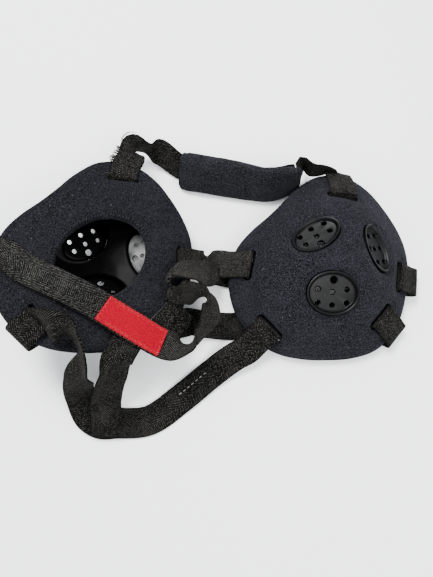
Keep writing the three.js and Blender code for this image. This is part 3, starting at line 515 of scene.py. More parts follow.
def open_up(piece, place, slots, vents, window, wide=slot_wide):
    """Cuts the windows round the vents, and the strap slots."""
    spare, depth = window
    cutters = []
    for vent in vents:
        long, across = vent_long + spare, vent[2] * vent_wide + spare
        cutters.append(oval_cutter(long, across, -depth, window_top, place @ vent_frame(vent)))
    cut(piece, cutters + [slot_cutter(slot, place, wide) for slot in slots.values()])


class Line:
    """Centripetal curve through the stations of a strap, with the direction of its left edge."""

    def __init__(self, rows, step=strap_step):
        points = np.array([row[:3] for row in rows], dtype=float)
        sides = []
        for row in rows:
            sides.append(np.array(row[3:], dtype=float) if len(row) > 3 else sides[-1])
        before = 2 * points[0] - points[1]
        after = 2 * points[-1] - points[-2]
        padded = np.vstack([before, points, after])
        made, across = [], []
        for index in range(len(points) - 1):
            a, b, c, d = padded[index : index + 4]
            count = max(1, round(np.linalg.norm(c - b) / step))
            for part in range(count):
                made.append(self.between(a, b, c, d, part / count))
                turned = smooth_step(0, 1, part / count)
                across.append(sides[index] * (1 - turned) + sides[index + 1] * turned)
        made.append(points[-1])
        across.append(sides[-1])
        self.points = np.array(made)
        ahead = np.gradient(self.points, axis=0)
        ahead /= np.linalg.norm(ahead, axis=1)[:, None]
        across = np.array(across)
        across -= ahead * np.sum(ahead * across, axis=1)[:, None]
        self.across = across / np.linalg.norm(across, axis=1)[:, None]
        self.ahead = ahead
        self.normal = np.cross(ahead, self.across)
        steps = np.linalg.norm(np.diff(self.points, axis=0), axis=1)
        self.along = np.concatenate([[0], np.cumsum(steps)])

    @staticmethod
    def between(a, b, c, d, part):
        """Point part of the way from b to c, with a before and d after them."""
        gaps = [max(1e-4, np.linalg.norm(q - p) ** 0.5) for p, q in ((a, b), (b, c), (c, d))]
        start = (b - a) / gaps[0] - (c - a) / (gaps[0] + gaps[1]) + (c - b) / gaps[1]
        end = (c - b) / gaps[1] - (d - b) / (gaps[1] + gaps[2]) + (d - c) / gaps[2]
        start, end = start * gaps[1], end * gaps[1]
        return (
            b + start * part + (-3 * b + 3 * c - 2 * start - end) * part**2
            + (2 * b - 2 * c + start + end) * part**3
        )

    def at(self, length):
        """Point, left direction, face direction and travel direction a length from the start."""
        pick = lambda rows: np.array([np.interp(length, self.along, rows[:, k]) for k in range(3)])
        return pick(self.points), pick(self.across), pick(self.normal), pick(self.ahead)


# Strap section: share of half the width, share of half the thickness
strap_section = [
    (1, 0), (0.985, 0.72), (0.93, 1), (0.6, 0.93), (0.2, 0.93), (-0.2, 0.93), (-0.6, 0.93), (-0.93, 1),
    (-0.985, 0.72), (-1, 0), (-0.985, -0.72), (-0.93, -1), (-0.6, -0.93), (-0.2, -0.93), (0.2, -0.93),
    (0.6, -0.93), (0.93, -1), (0.985, -0.72),
]


def ribbon(name, line, wide, thick, lift=0, waviness=0.0):
    """A flat woven band along a line, with a map of its length and width in metres."""
    points = []
    for index, point in enumerate(line.points):
        sway = waviness * noise.noise(Vector(point) * 0.06)
        for across, up in strap_section:
            edge = across * wide / 2 + waviness * 0.3 * noise.noise(Vector(point) * 0.2) * (across > 0)
            place = point + line.across[index] * edge
            points.append(place + line.normal[index] * (up * thick / 2 + lift + sway * across**2))
    columns = len(strap_section)
    piece = new_object(name, points, tube_faces(len(line.points), columns))
    spread = piece.data.uv_layers.new(name="band")
    for loop in piece.data.loops:
        row, column = divmod(loop.vertex_index, columns)
        spread.data[loop.index].uv = (line.along[row] * MM, strap_section[column][0] * wide / 2 * MM)
    return piece


def stitches(name, spots, radius, material):
    """Short thread bars: middle, half vector and arching direction of each, in one piece."""
    points, faces = [], []
    sides, rings = 6, 7
    for middle, half, arch in spots:
        half, arch = np.array(half), np.array(arch)
        across = np.cross(half, arch)
        across /= max(1e-6, np.linalg.norm(across))
        up = np.cross(across, half)
        up /= max(1e-6, np.linalg.norm(up))
        start = len(points)
        for ring in range(rings):
            part = ring / (rings - 1) * 2 - 1
            bend = 1 - part**2
            size = radius * (0.35 + 0.65 * math.sqrt(max(0, 1 - part**6)))
            base = np.array(middle) + half * part + arch * (bend - 1)
            for side in range(sides):
                turn = 2 * math.pi * side / sides
                points.append(base + across * size * math.cos(turn) + up * size * math.sin(turn))
        faces += [tuple(start + corner for corner in face) for face in tube_faces(rings, sides)]
    finish_piece(new_object(name, points, faces), material)


def thread(name, points, radius, material):
    """A round thread through points."""
    line = Line([tuple(p) + (0.13, 0.31, 0.94) for p in points], step=0.6)
    sides = 6
    made = []
    for index, point in enumerate(line.points):
        taper = 0.6 + 0.4 * min(1, index / 4, (len(line.points) - 1 - index) / 4)
        for side in range(sides):
            turn = 2 * math.pi * side / sides
            offset = line.across[index] * math.cos(turn) + line.normal[index] * math.sin(turn)
            made.append(point + offset * radius * taper)
    piece = new_object(name, made, tube_faces(len(line.points), sides))
    finish_piece(piece, material)


def polar(rule, shares):
    """Rings of points round the cup; rule gives distance and height from share and direction."""
    turns = 2 * np.pi * np.arange(around) / around - np.pi
    points = []
    for share in shares:
        out, up = rule(share, turns)
        points += list(np.stack([out * np.cos(turns), out * np.sin(turns), up], axis=1))
    return points


def under_dome(depth):
    """Rule for rings at a depth under the cover's outer face."""

    def rule(share, turns):
        up = dome_height(share) - depth * steepness(share)
        return share * reach_at(turns), np.full_like(turns, up)

    return rule


def relief(x, y, height, salt):
    """Low, soft unevenness of cloth over foam."""
    return np.array([
        height * noise.noise(Vector((px * 0.045, py * 0.045, salt)))
        + 0.4 * height * noise.noise(Vector((px * 0.13, py * 0.13, salt + 5)))
        for px, py in zip(x, y)
    ])


def vent_pull(x, y, vents):
    """How far the cover is drawn down round the vents."""
    drop = np.zeros_like(x)
    for vent in vents:
        distance = vent_distance(x, y, vent)
        drop = np.maximum(drop, vent_dip * (1 - smooth_step(1.0, 1.3, distance)))
    return drop


def slot_pull(x, y, slots):
    """Puckering round the slots."""
    drop = np.zeros_like(x)
    for slot in slots.values():
        ahead, beside = slot_way(x, y, slot)
        far = np.hypot(ahead, np.maximum(0, beside - slot_long / 2 + 1))
        drop = np.maximum(drop, slot_dip * (1 - smooth_step(2.2, 6.5, far)))
    return drop


def edge_ring(row, turns):
    """Distance and height of a ring near the rim: share of the way out, height."""
    return row[0] * reach_at(turns), np.full_like(turns, row[1])


# The cover's rolled rim, share of the way out and height, and the shares of its inner face
cover_rim = [(1.002, 5.4), (1.004, 4.8), (1.0, 4.3), (0.99, 4.15), (0.955, 4.15)]
cover_inner = [0.945, 0.93, 0.87, 0.78, 0.68, 0.54, 0.38, 0.2, 0.02]


def cup_cover(name, place, slots, vents, salt, material):
    """The cloth skin over the dome, with its rolled rim, vent windows and slots."""
    outer = list(np.linspace(0.02, 0.9, outwards)) + [0.93, 0.955, 0.975, 0.988, 0.996]

    def outside(share, turns):
        out = share * reach_at(turns)
        x, y = out * np.cos(turns), out * np.sin(turns)
        up = dome_height(np.full_like(turns, share))
        up = up - vent_pull(x, y, vents) - slot_pull(x, y, slots) + relief(x, y, cover_uneven, salt)
        seam = np.exp(-(((1 - share) * cup_reach - seam_inset) / seam_wide) ** 2)
        return out, up - seam_deep * seam

    inside = under_dome(cover_thick - 0.1)
    points = polar(outside, outer) + polar(edge_ring, cover_rim) + polar(inside, cover_inner)
    rows = len(outer) + len(cover_rim) + len(cover_inner)
    piece = new_object(name, points, tube_faces(rows, around), place)
    open_up(piece, place, slots, vents, cover_window)
    finish_piece(piece, material, [name.replace("_skin", "")], 40)


def cup_shell(name, place, slots, vents, material):
    """The hard bowl inside a cup, with rounded bosses where the vents sit."""
    shares = list(np.linspace(0.02, shell_share, shell_rows))
    skin = cover_thick + layer_gap

    def inside(share, turns):
        out, up = under_dome(skin + shell_thick)(share, turns)
        x, y = out * np.cos(turns), out * np.sin(turns)
        for vent in vents:
            up = up - boss_rise * (1 - smooth_step(0.86, 1.22, vent_distance(x, y, vent)))
        return out, up

    points = polar(under_dome(skin), shares) + polar(inside, shares[::-1])
    piece = new_object(name, points, tube_faces(2 * len(shares), around), place)
    open_up(piece, place, slots, vents, shell_window)
    finish_piece(piece, material, [name.replace("_bowl", "")], 40)


# Vent dish from its outer wall up over the rim, down to the plate and back under: inset, height
vent_rim = [
    (0.35, -4.6), (0.3, -1.5), (0.42, -1.05), (0.75, -0.85), (1.15, -0.9), (1.75, -1.35), (2.25, -2.1),
    (2.5, -2.9), (2.95, -3.25), (3.6, vent_plate_top),
]
vent_under = [(3.2, -5.75), (1.5, -5.65), (0.8, -5.3)]


def vent_dish(name, place, vent, material):
    """One recessed oval vent plate with its bevelled rim and seven holes."""
    half_long, half_wide = vent_long / 2, vent[2] * vent_wide / 2
    rows = [(half_long - inset, half_wide - inset, up) for inset, up in vent_rim]
    for up in (vent_plate_top, vent_plate_under):
        rows.append((half_long * vent_plate_middle, half_wide * vent_plate_middle, up))
    rows += [(half_long - inset, half_wide - inset, up) for inset, up in vent_under]
    points = [point for row in rows for point in oval(*row, dish_sides)]
    middle = len(vent_rim) * dish_sides
    under = middle + dish_sides
    faces = grid_faces(len(rows), dish_sides, True)
    faces = [face for face in faces if not (middle <= face[0] < under <= face[2])]
    faces.append(tuple(range(middle, under)))
    faces.append(tuple(reversed(range(under, under + dish_sides))))
    spot = place @ vent_frame(vent)
    piece = new_object(name, points, faces, spot)
    cutters = []
    for across, along, wide in holes:
        centre = Matrix.Translation((across * vent_long, along * 2 * half_wide, 0))
        cutters.append(oval_cutter(wide, wide, *hole_cut_heights, spot @ centre, hole_sides))
        cutters.append(cone_cutter(wide / 2, spot @ centre))
    cut(piece, cutters)
    finish_piece(piece, material, (), 38)


def cone_cutter(radius, place):
    """Softens the edge of a hole."""
    radii = (radius, radius + hole_bevel)
    return cutter(*(oval(r, r, up, hole_sides) for r, up in zip(radii, hole_bevel_heights)), place)


# Pad section from the outer rim over its face and in to the ear opening, then up and back:
# share of the way from the rim to the opening, height in millimetres
pad_rows = [
    (-0.012, 3.0), (-0.02, 2.2), (-0.015, 1.4), (0.0, 0.75), (0.02, 0.35), (0.045, 0.1), (0.07, 0.05),
    (0.1, 0.12), (0.125, 0.5), (0.15, 0.12), (0.18, -0.05), (0.25, -0.12), (0.33, -0.15), (0.42, -0.15),
    (0.5, -0.12), (0.58, -0.08), (0.66, 0.0), (0.74, 0.12), (0.81, 0.32), (0.87, 0.65), (0.92, 1.15),
    (0.955, 1.8), (0.98, 2.6), (0.992, 3.5), (0.985, 4.5), (0.96, 5.4), (0.92, 6.2), (0.84, 7.2),
    (0.72, 8.2),
]


def pad_ring(name, place, slots, vents, beds, salt, material):
    """The foam ring round the ear opening, with its edge seam and the beds of the straps."""
    stack = cover_thick + shell_thick + 2 * layer_gap + 0.3

    def surface(row, turns):
        inward, height = row
        rim, ear = reach_at(turns), ear_reach(turns)
        out = rim + (ear - rim) * inward
        x, y = out * np.cos(turns), out * np.sin(turns)
        up = np.full_like(turns, height)
        if height < 3:
            up = up + relief(x, y, pad_uneven, salt) + pad_swell
            for bed, reach_in, wider in beds:
                far, beside = slot_way(x, y, slots[bed])
                flat = 1 - smooth_step((slot_long + wider) / 2, (slot_long + wider) / 2 + 2.5, beside)
                up = np.maximum(up, bed_depth * flat * smooth_step(-reach_in - 5, -reach_in - 2, far))
        return out, up

    backs = [0.78, 0.83, 0.88, 0.925]
    lips = [(0.945, pad_lip - 0.1), (0.98, pad_lip - 0.05)]
    points = polar(surface, pad_rows) + polar(under_dome(stack), backs) + polar(edge_ring, lips)
    piece = new_object(name, points, grid_faces(len(points) // around, around, True), place)
    open_up(piece, place, slots, vents, pad_window, pad_slot_wide)
    finish_piece(piece, material, [name.replace("_ring", "")], 50)


def opening_stitches(name, place, material):
    """Overlock threads round the ear opening."""
    spots = []
    for index in range(opening_stitch_count):
        shift = 0.3 * noise.noise(Vector((index * 1.7, 2, 0)))
        turn = 2 * math.pi * (index + shift) / opening_stitch_count
        ear = float(ear_reach(np.array(turn)))
        lean = turn + 0.02
        loose = noise.noise(Vector((index * 0.7, 0, 1)))
        outer = ear + 2.9 + 0.7 * loose
        inner = ear + 1.5 + 0.5 * noise.noise(Vector((index * 0.7, 0, 4)))
        first = Vector((outer * math.cos(turn), outer * math.sin(turn), 0.28))
        second = Vector((inner * math.cos(lean), inner * math.sin(lean), 0.75))
        middle = (first + second) / 2 + Vector((0, 0, -0.05))
        spots.append(turned_spot(place, middle, (second - first) / 2, (0, 0, -0.4)))
    stitches(name, spots, opening_stitch_radius, material)


def seam_stitches(name, place, slots, side_up, material):
    """Running stitches near the rim, on the pad's face or the cover's."""
    spots = []
    for index in range(seam_stitch_count):
        turn = 2 * math.pi * index / seam_stitch_count
        rim, ear = float(reach_at(turn)), float(ear_reach(np.array(turn)))
        if side_up == "pad":
            out, up = rim + (ear - rim) * pad_seam_share, pad_seam_height
        else:
            out = rim - seam_inset
            up = float(dome_height(out / rim)) - 0.35
        x, y = out * math.cos(turn), out * math.sin(turn)
        if near_slot(x, y, slots):
            continue
        half = Vector((-math.sin(turn), math.cos(turn), 0)) * seam_stitch_half
        arch = (0, 0, -0.3 if side_up == "pad" else 0.3)
        spots.append(turned_spot(place, Vector((x, y, up)), half, arch))
    stitches(name, spots, seam_stitch_radius, material)


def near_slot(x, y, slots):
    """Whether a point of the seam lies under a strap."""
    ways = (slot_way(x, y, slot) for slot in slots.values())
    return any(far > -4 and beside < slot_long / 2 + 1.5 for far, beside in ways)


def turned_spot(place, middle, half, arch):
    """A stitch of the cup's own frame, in the lying cup."""
    turn = place.to_3x3()
    return place @ middle, turn @ half, turn @ Vector(arch)


def brow_pad(name, material, cord_material):
    """The padded sleeve on the forehead strap, a stuffed cushion with sewn ends and a cord at its right end.
    """
    line = Line(brow_line, step=brow_long / 60)
    sides = 44
    points = []
    total = line.along[-1]
    for index, point in enumerate(line.points):
        share = line.along[index] / total
        end = min(share, 1 - share)
        corner = 0.8 + 0.2 * min(1, end / 0.02) ** 0.5
        width = brow_wide / 2 * (0.93 + 0.07 * smooth_step(0, 0.06, end)) * corner
        fat = brow_thick / 2 * (0.35 + 0.65 * smooth_step(-0.01, 0.09, end))
        seam = sum(
            brow_seam_deep * math.exp(-((share - middle) / brow_seam_wide) ** 2)
            for middle in brow_seam_shares
        )
        for side in range(sides):
            turn = 2 * math.pi * side / sides
            across = math.copysign(abs(math.cos(turn)) ** 0.62, math.cos(turn)) * width
            up = math.copysign(abs(math.sin(turn)) ** 0.75, math.sin(turn)) * fat
            crease = 0.14 * noise.noise(Vector((share * 14, turn * 0.9, 3.1)))
            pull = 0.22 * noise.noise(Vector((share * 5, turn * 2.2, 8.2)))
            size = 1 + (crease + pull - seam) / brow_thick
            points.append(point + line.across[index] * across * size + line.normal[index] * up * size)
    piece = new_object(name, points, tube_faces(len(line.points), sides))
    finish_piece(piece, material, ["forehead_pad"])
    cord_row = round(brow_seam_shares[1] * (len(line.points) - 1)) * sides
    cord = [points[cord_row + side] + line.normal[-1] * 0.1 for side in range(-2, sides // 2 + 3)]
    thread(name + "_cord", cord, brow_cord_radius, cord_material)


def strap(name, node, rows, material, waviness):
    """A strap's band over its CAD solid; gives back its line."""
    line = Line(rows)
    piece = ribbon(name, line, strap_wide, strap_thick, 0, waviness)
    finish_piece(piece, material, [node], 50)
    return line


def label_patch(crown, spot, material, thread_material):
    """The bare red label and its zigzag edge stitches."""
    middle = nearest(crown, spot)
    low, high = middle - label_long / 2, middle + label_long / 2
    steps = 44
    rows = [crown.at(low + (high - low) * part / steps) for part in range(steps + 1)]
    line = Line([tuple(row[0]) + tuple(row[1]) for row in rows], step=1)
    lift = strap_thick / 2 + 0.25 + label_thick / 2
    piece = ribbon("label_patch", line, label_tall + 0.6, label_thick, lift, 0)
    finish_piece(piece, material, ["label"], 50)
    face = lift + label_thick / 2 + 0.1
    spots = []
    for edge in (-1, 1):
        for index in range(label_side_stitches):
            length = (index + 0.5) / label_side_stitches * line.along[-1]
            lean = 0.75 if index % 2 else -0.75
            across = edge * label_side_row
            spots.append(strap_stitch(line, length, across, face, label_stitch_half, lean, 0.15))
    for end in (label_end_inset, line.along[-1] - label_end_inset):
        for index in range(label_end_stitches):
            across = label_end_start + label_end_step * index
            lean = 0.7 if index % 2 else -0.7
            spots.append(strap_stitch(line, end, across, face, label_stitch_half, lean, 0.15))
    stitches("label_stitches", spots, label_stitch_radius, thread_material)
    fuzz(line, lift - 0.1, thread_material)


def strap_stitch(line, length, across, up, reach, lean, arch):
    """A stitch on a band: its middle, half its way sideways and ahead, and its arch."""
    point, side, normal, ahead = line.at(length)
    return point + side * across + normal * up, side * reach + ahead * lean, normal * arch


def fuzz(line, up, material):
    """Loose edge threads of the label."""
    spots = []
    for _ in range(label_edge_threads):
        length = random.uniform(0, line.along[-1])
        edge = random.choice((-1, 1))
        reach = random.uniform(0.25, 0.7)
        across = edge * (label_tall / 2 + reach * 0.6)
        lean = random.uniform(-0.4, 0.4)
        spots.append(strap_stitch(line, length, across, up, edge * reach, lean, 0.1))
    stitches("label_fuzz", spots, label_thread_radius, material)


def frayed_edge(name, line, material, spot):
    """Loose yarns at the worn left edge of a strap."""
    length = nearest(line, spot)
    spots = []
    for _ in range(frayed_yarns):
        place = length + random.uniform(-9, 9)
        long = random.uniform(0.4, 1) * frayed_reach
        up = random.uniform(-0.4, 0.5)
        lean = random.uniform(-0.7, 0.7) * frayed_reach * 0.5
        arch = random.uniform(-0.5, 0.9)
        spots.append(strap_stitch(line, place, strap_wide / 2 + long * 0.5, up, long, lean, arch))
    stitches(name, spots, frayed_radius, material)


class Nodes:
    """Small helper that builds one material's nodes."""

    def __init__(self, name):
        self.material = bpy.data.materials.new(name)
        self.material.use_nodes = True
        self.tree = self.material.node_tree
        self.shader = self.tree.nodes["Principled BSDF"]

    def add(self, kind, inputs=None, **settings):
        node = self.tree.nodes.new(kind)
        for key, value in settings.items():
            setattr(node, key, value)
        for key, value in (inputs or {}).items():
            self.put(node.inputs[key], value)
        return node

    def put(self, socket, value):
        """Joins a socket to another or gives it a value; colours come without their alpha."""
        if isinstance(value, bpy.types.NodeSocket):
            self.tree.links.new(value, socket)
        else:
            socket.default_value = (*value, 1) if isinstance(value, tuple) else value

    def set(self, **values):
        """Sets the shader's own inputs, with an underscore for each space in a name."""
        for key, value in values.items():
            self.put(self.shader.inputs[key.replace("_", " ")], value)

    def math(self, operation, first, second=0.0):
        node = self.add("ShaderNodeMath", operation=operation)
        self.put(node.inputs[0], first)
        self.put(node.inputs[1], second)
        return node.outputs[0]

    def mix(self, share, first, second):
        node = self.add("ShaderNodeMix", data_type="RGBA")
        self.put(node.inputs[0], share)
        self.put(node.inputs[6], first)
        self.put(node.inputs[7], second)
        return node.outputs[2]

    def ramp(self, value, low, high):
        """Eased way of a value from low to high, 0 to 1."""
        node = self.add("ShaderNodeMapRange", {"Value": value, "From Min": low, "From Max": high})
        node.interpolation_type = "SMOOTHSTEP"
        return node.outputs[0]

    def noise(self, scale, detail=3.0, rough=0.55):
        node = self.add("ShaderNodeTexNoise", {"Scale": scale, "Detail": detail, "Roughness": rough})
        self.put(node.inputs["Vector"], self.place())
        return node.outputs["Fac"]

    def place(self):
        return self.add("ShaderNodeTexCoord").outputs["Object"]

    def band(self):
        """Length and width of a band, from its map."""
        spread = self.add("ShaderNodeUVMap", uv_map="band").outputs["UV"]
        parts = self.add("ShaderNodeSeparateXYZ", {"Vector": spread})
        return parts.outputs["X"], parts.outputs["Y"]

    def times(self, first, second):
        return self.math("MULTIPLY", first, second)

    def threads(self, way, wide):
        """Rises and falls with each thread across a way."""
        return self.math("PINGPONG", self.math("DIVIDE", way, wide), 0.5)

    def bump(self, height, strength, distance, below=None):
        node = self.add("ShaderNodeBump", {"Height": height, "Strength": strength, "Distance": distance})
        if below is not None:
            self.put(node.inputs["Normal"], below)
        return node.outputs["Normal"]


# Herringbone weave, in metres: zigzag columns, where the first starts, ribs and yarns
column_wide = 0.0134
column_shift = 0.0704
rib_wide = 0.00155
yarn_wide = 0.00042

# The label's threads along and across it, in metres
warp_wide = 0.0005
weft_wide = 0.00035


def jersey(name, dark, light, fleck):
    """Black neoprene faced with a fine knit: speckle, lint, faint wear."""
    nodes = Nodes(name)
    grain = nodes.noise(1250, 2, 0.6)
    patch = nodes.noise(42, 4, 0.6)
    cells = nodes.add("ShaderNodeTexVoronoi", {"Scale": 1500, "Vector": nodes.place()})
    knit = cells.outputs["Distance"]
    base = nodes.mix(nodes.ramp(grain, 0.36, 0.72), dark, light)
    base = nodes.mix(nodes.times(nodes.ramp(patch, 0.42, 0.8), 0.35), base, light)
    lint = nodes.ramp(nodes.noise(700, 1, 0.4), 0.735, 0.775)
    base = nodes.mix(nodes.times(lint, 0.55), base, fleck)
    fine = nodes.bump(knit, 0.35, 0.0003)
    rough = nodes.bump(grain, 0.5, 0.00035, fine)
    soft = nodes.bump(patch, 0.25, 0.0012, rough)
    nodes.set(Base_Color=base, Roughness=0.93, Normal=soft, Specular_IOR_Level=0.03)
    nodes.set(Sheen_Weight=0.03, Sheen_Roughness=0.45, Sheen_Tint=(0.8, 0.84, 1.0))
    return nodes.material


def herringbone(name, dark, light, gleam):
    """Herringbone webbing: slanting ribs that turn back on themselves in columns, with a painted sheen on
    the ribs.
    """
    nodes = Nodes(name)
    along, across = nodes.band()
    zigzag = nodes.math("PINGPONG", nodes.math("ADD", across, column_shift), column_wide / 2)
    slant = nodes.math("ADD", along, nodes.times(zigzag, 1.05))
    wobble = nodes.times(nodes.math("SUBTRACT", nodes.noise(160, 2), 0.5), 0.0006)
    wave = nodes.threads(nodes.math("ADD", slant, wobble), rib_wide)
    blur = nodes.times(nodes.math("SUBTRACT", nodes.noise(1100, 2, 0.6), 0.5), 0.7)
    ribs = nodes.ramp(nodes.math("ADD", wave, blur), 0.1, 0.42)
    fibre = nodes.threads(across, yarn_wide)
    weave = nodes.math("ADD", nodes.times(ribs, 0.8), nodes.times(fibre, 0.4))
    grain = nodes.noise(1150, 2, 0.55)
    # The large patches below and the flecks lay the gleam colour on the ribs, a painted sheen
    dust_and_sheen = nodes.ramp(nodes.noise(75, 4, 0.6), 0.4, 0.75)
    base = nodes.mix(nodes.times(ribs, nodes.ramp(grain, 0.3, 0.5)), dark, light)
    flecks = nodes.times(nodes.ramp(grain, 0.5, 0.62), nodes.times(ribs, 0.85))
    base = nodes.mix(flecks, base, gleam)
    base = nodes.mix(nodes.times(dust_and_sheen, nodes.times(ribs, 0.35)), base, gleam)
    edge = nodes.ramp(nodes.math("ABSOLUTE", across), 0.0091, 0.0098)
    base = nodes.mix(nodes.times(edge, 0.5), base, dark)
    ridge = nodes.bump(weave, 0.9, 0.0005)
    fluff = nodes.bump(grain, 0.35, 0.0003, ridge)
    nodes.set(Base_Color=base, Roughness=0.82, Normal=fluff, Specular_IOR_Level=0.02)
    nodes.set(Sheen_Weight=0.02, Sheen_Roughness=0.4, Sheen_Tint=(0.95, 0.9, 0.8))
    return nodes.material


def plastic(name, dark, light, rough, gleam):
    """Moulded black plastic with a faint grain, dust and rub marks."""
    nodes = Nodes(name)
    grain = nodes.noise(900, 3, 0.6)
    smear = nodes.noise(60, 5, 0.65)
    dust_and_sheen = nodes.ramp(nodes.noise(1300, 1, 0.3), 0.72, 0.78)
    base = nodes.mix(nodes.ramp(smear, 0.35, 0.7), dark, light)
    base = nodes.mix(nodes.times(dust_and_sheen, 0.4), base, (0.03, 0.03, 0.031))
    shine = nodes.add("ShaderNodeMapRange", {"Value": smear, "To Min": rough - 0.07, "To Max": rough + 0.12})
    fine = nodes.bump(grain, 0.12, 0.0002)
    wave = nodes.bump(nodes.noise(30, 2, 0.5), 0.2, 0.0012, fine)
    nodes.set(Base_Color=base, Roughness=shine.outputs[0], Normal=wave, Specular_IOR_Level=gleam)
    return nodes.material


def label_cloth(name):
    """Red damask label: very fine weave with a lighter worn edge."""
    nodes = Nodes(name)
    along, across = nodes.band()
    weave = nodes.math("ADD", nodes.threads(along, warp_wide), nodes.threads(across, weft_wide))
    grain = nodes.noise(1500, 3, 0.6)
    base = nodes.mix(nodes.ramp(grain, 0.35, 0.75), (0.17, 0.0, 0.006), (0.28, 0.0002, 0.013))
    worn = nodes.ramp(nodes.math("ABSOLUTE", across), 0.0078, 0.0087)
    base = nodes.mix(nodes.times(worn, 0.5), base, (0.3, 0.008, 0.014))
    threads = nodes.bump(weave, 0.45, 0.0002)
    nodes.set(Base_Color=base, Roughness=0.8, Normal=threads, Specular_IOR_Level=0.02)
    return nodes.material


def yarn(name, dark, light):
    """Twisted sewing thread."""
    nodes = Nodes(name)
    grain = nodes.noise(1800, 2, 0.6)
    base = nodes.mix(nodes.ramp(grain, 0.35, 0.7), dark, light)
    threads = nodes.bump(grain, 0.3, 0.0002)
    nodes.set(Base_Color=base, Roughness=0.75, Normal=threads, Specular_IOR_Level=0.05)
    return nodes.material


def floor_paint():
    """Plain pale floor."""
    nodes = Nodes("pale_floor")
    cloudy = nodes.noise(6, 3, 0.5)
    base = nodes.mix(cloudy, (0.93, 0.93, 0.93), (0.96, 0.96, 0.96))
    nodes.set(Base_Color=base, Roughness=0.9)
    return nodes.material


def floor():
    mesh = bpy.data.meshes.new("floor")
    corners = [(x * floor_half, y * floor_half, 0) for x, y in ((-1, -1), (1, -1), (1, 1), (-1, 1))]
    mesh.from_pydata(corners, [], [(0, 1, 2, 3)])
    sheet = bpy.data.objects.new("floor", mesh)
    bpy.context.scene.collection.objects.link(sheet)
    mesh.materials.append(floor_paint())


def soft_light(name, place, size, power):
    """A square lamp that faces the object."""
    lamp = bpy.data.lights.new(name, "AREA")
    lamp.size = size
    lamp.energy = power
    holder = bpy.data.objects.new(name, lamp)
    bpy.context.scene.collection.objects.link(holder)
    holder.location = place
    holder.rotation_euler = (-Vector(place)).to_track_quat("-Z", "Y").to_euler()


def studio():
    world = bpy.data.worlds.new("studio")
    bpy.context.scene.world = world
    world.use_nodes = True
    sky = world.node_tree.nodes["Background"]
    sky.inputs["Color"].default_value = (0.93, 0.96, 1, 1)
    sky.inputs["Strength"].default_value = 1.7
    soft_light("overhead", (-0.3, 0.45, 1.0), 0.45, 26)
    soft_light("front", (0.55, -0.5, 0.8), 0.5, 10)


def camera():
    lens = bpy.data.cameras.new("camera")
    lens.sensor_width = sensor_wide
    lens.lens = sensor_wide * focal_pixels / max(picture_width, picture_height)
    lens.clip_start = 0.01
    holder = bpy.data.objects.new("camera", lens)
    bpy.context.scene.collection.objects.link(holder)
    lift = math.radians(camera_above_floor)
    target = Vector(camera_target)
    holder.location = target + Vector((0, -math.cos(lift), math.sin(lift))) * camera_distance
    holder.rotation_euler = (math.pi / 2 - lift, 0, 0)
    bpy.context.scene.camera = holder


# Loose threads at the left end of the forehead strap, in millimetres
loose_threads = [
    [
        (-64.8, 95.3, 27), (-68.3, 97.4, 29), (-69.6, 101.2, 31), (-67.4, 104.8, 32),
        (-63.1, 107.4, 32), (-58.8, 107.2, 31),
    ],
    [(-66.8, 94.3, 27), (-69.9, 98.6, 30), (-70.2, 102.4, 31), (-66.6, 106.6, 32), (-61.8, 108.4, 31)],
    [(-71, 84.5, 31), (-74.6, 86.2, 31), (-77.2, 84.9, 30)],
    [(-74.9, 71.5, 34), (-79.6, 72.3, 33), (-82.4, 70.2, 33)],
]

# Knitted cloths and webbing: dark, light and fleck colours; the webbing's third colour is its gleam, a
# painted sheen
cloths = {
    "neoprene": (jersey, (0.0015, 0.0015, 0.002), (0.02, 0.0204, 0.025), (0.07, 0.07, 0.08)),
    "pad_jersey": (jersey, (0.0012, 0.0012, 0.0017), (0.0155, 0.0155, 0.0187), (0.06, 0.06, 0.07)),
    # A lighter copy of the jersey for the forehead pad: painted light for its lit top face
    "brow_jersey": (jersey, (0.002, 0.002, 0.0026), (0.022, 0.0222, 0.0262), (0.07, 0.07, 0.08)),
    "webbing": (herringbone, (0.0001,) * 3, (0.0075, 0.0073, 0.0066), (0.053, 0.052, 0.047)),
    # A lighter copy of the webbing for the crown strap, which lies high in the light: painted light
    "worn_webbing": (herringbone, (0.0001,) * 3, (0.019, 0.0186, 0.0168), (0.066, 0.0645, 0.0575)),
}

# Plastics: dark and light colours, roughness, gleam
plastics = {
    "bowl_plastic": ((0.0002, 0.0002, 0.0003), (0.0005, 0.0005, 0.0006), 0.22, 0.018),
    "vent_plastic": ((0.001, 0.001, 0.0011), (0.0028, 0.0028, 0.0031), 0.31, 0.11),
    # A pale grey, glossier copy of the vent plastic: painted highlight for the lit vent of the left cup
    "painted_light_vent_plastic": ((0.02, 0.02, 0.02), (0.2, 0.2, 0.195), 0.4, 0.25),
}

# Threads: dark and light colours
yarns = {
    "black_thread": ((0.004, 0.004, 0.0055), (0.035, 0.035, 0.042)),
    "red_thread": ((0.14, 0.0005, 0.006), (0.5, 0.06, 0.065)),
    "strap_thread": ((0.012, 0.012, 0.01), (0.05, 0.047, 0.04)),
    "cord": ((0.006, 0.006, 0.007), (0.03, 0.03, 0.033)),
    "pale_thread": ((0.12, 0.115, 0.105), (0.26, 0.25, 0.23)),
}

# Cups: place, slots, vents, beds, start of the cloth's relief, look of the vents
cups = {
    "left": (left_place, left_slots, left_vents, left_beds, 2.3, "bowl_plastic"),
    "right": (right_place, right_slots, right_vents, right_beds, 7.7, "vent_plastic"),
}

# Straps: solid, line, look and waviness in millimetres
straps = {
    "brow_band": ("forehead_strap", forehead_line, "webbing", 0.5),
    "rear_upper_band": ("rear_upper_strap", rear_upper_line, "webbing", 0.5),
    "rear_lower_band": ("rear_lower_strap", rear_lower_line, "webbing", 0.5),
    "chin_band": ("chin_strap", chin_line, "webbing", 0.5),
    "chin_tail_band": ("chin_tail", tail_line, "webbing", 0.5),
    # The crown strap takes the lighter copy of the webbing, painted light
    "crown_band": ("crown_strap", crown_line, "worn_webbing", 0.3),
}


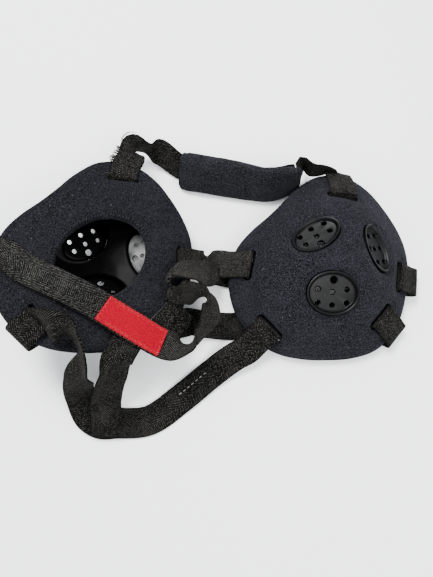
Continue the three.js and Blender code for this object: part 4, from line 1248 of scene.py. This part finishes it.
def all_looks():
    """Every material by its name."""
    looks = {name: kind(name, *colours) for name, (kind, *colours) in cloths.items()}
    looks.update((name, plastic(name, *values)) for name, values in plastics.items())
    looks["label_red"] = label_cloth("label_red")
    looks.update((name, yarn(name, *colours)) for name, colours in yarns.items())
    return looks


def cup(side, looks):
    """One cup's cover, bowl, vents, pad and stitches."""
    place, slots, vents, beds, salt, vent_look = cups[side]
    cup_cover(side + "_cover_skin", place, slots, vents, salt, looks["neoprene"])
    cup_shell(side + "_shell_bowl", place, slots, vents, looks["bowl_plastic"])
    for number, vent in enumerate(vents, 1):
        # The lit vent takes the pale copy of the plastic, a painted highlight
        look = "painted_light_vent_plastic" if (side, number) == brightly_lit_vent else vent_look
        vent_dish(side + "_vent_" + str(number), place, vent, looks[look])
    pad_ring(side + "_pad_ring", place, slots, vents, beds, salt + 1, looks["pad_jersey"])
    opening_stitches(side + "_opening_stitches", place, looks["black_thread"])
    seam_stitches(side + "_rim_stitches", place, slots, "pad", looks["black_thread"])
    seam_stitches(side + "_dome_stitches", place, slots, "cover", looks["black_thread"])


def build():
    camera()
    studio()
    floor()
    looks = all_looks()
    for side in cups:
        cup(side, looks)
    brow_pad("brow_cushion", looks["brow_jersey"], looks["cord"])
    lines = {}
    for name, (node, rows, look, waviness) in straps.items():
        lines[name] = strap(name, node, rows, looks[look], waviness)
    label_patch(lines["crown_band"], label_near, looks["label_red"], looks["red_thread"])
    frayed_edge("brow_fray", lines["brow_band"], looks["strap_thread"], fray_near)
    for number, arc in enumerate(loose_threads, 1):
        thread("loose_thread_" + str(number), arc, loose_thread_radius, looks["strap_thread"])
    chin_stitches(lines["chin_band"], looks["pale_thread"])


def nearest(line, spot):
    """Length along a line at which it passes nearest to a point."""
    gaps = np.linalg.norm(line.points - np.array(spot), axis=1)
    return float(line.along[int(np.argmin(gaps))])


def chin_stitches(line, material):
    """A short row of pale stitches along the chin strap."""
    start = nearest(line, chin_stitch_start)
    spots = []
    for index in range(chin_stitch_count):
        length = start + chin_stitch_step * index
        up = strap_thick / 2 + 0.12
        spots.append(strap_stitch(line, length, chin_stitch_across, up, 0, chin_stitch_half, 0.2))
    stitches("chin_stitches", spots, chin_stitch_radius, material)


build()
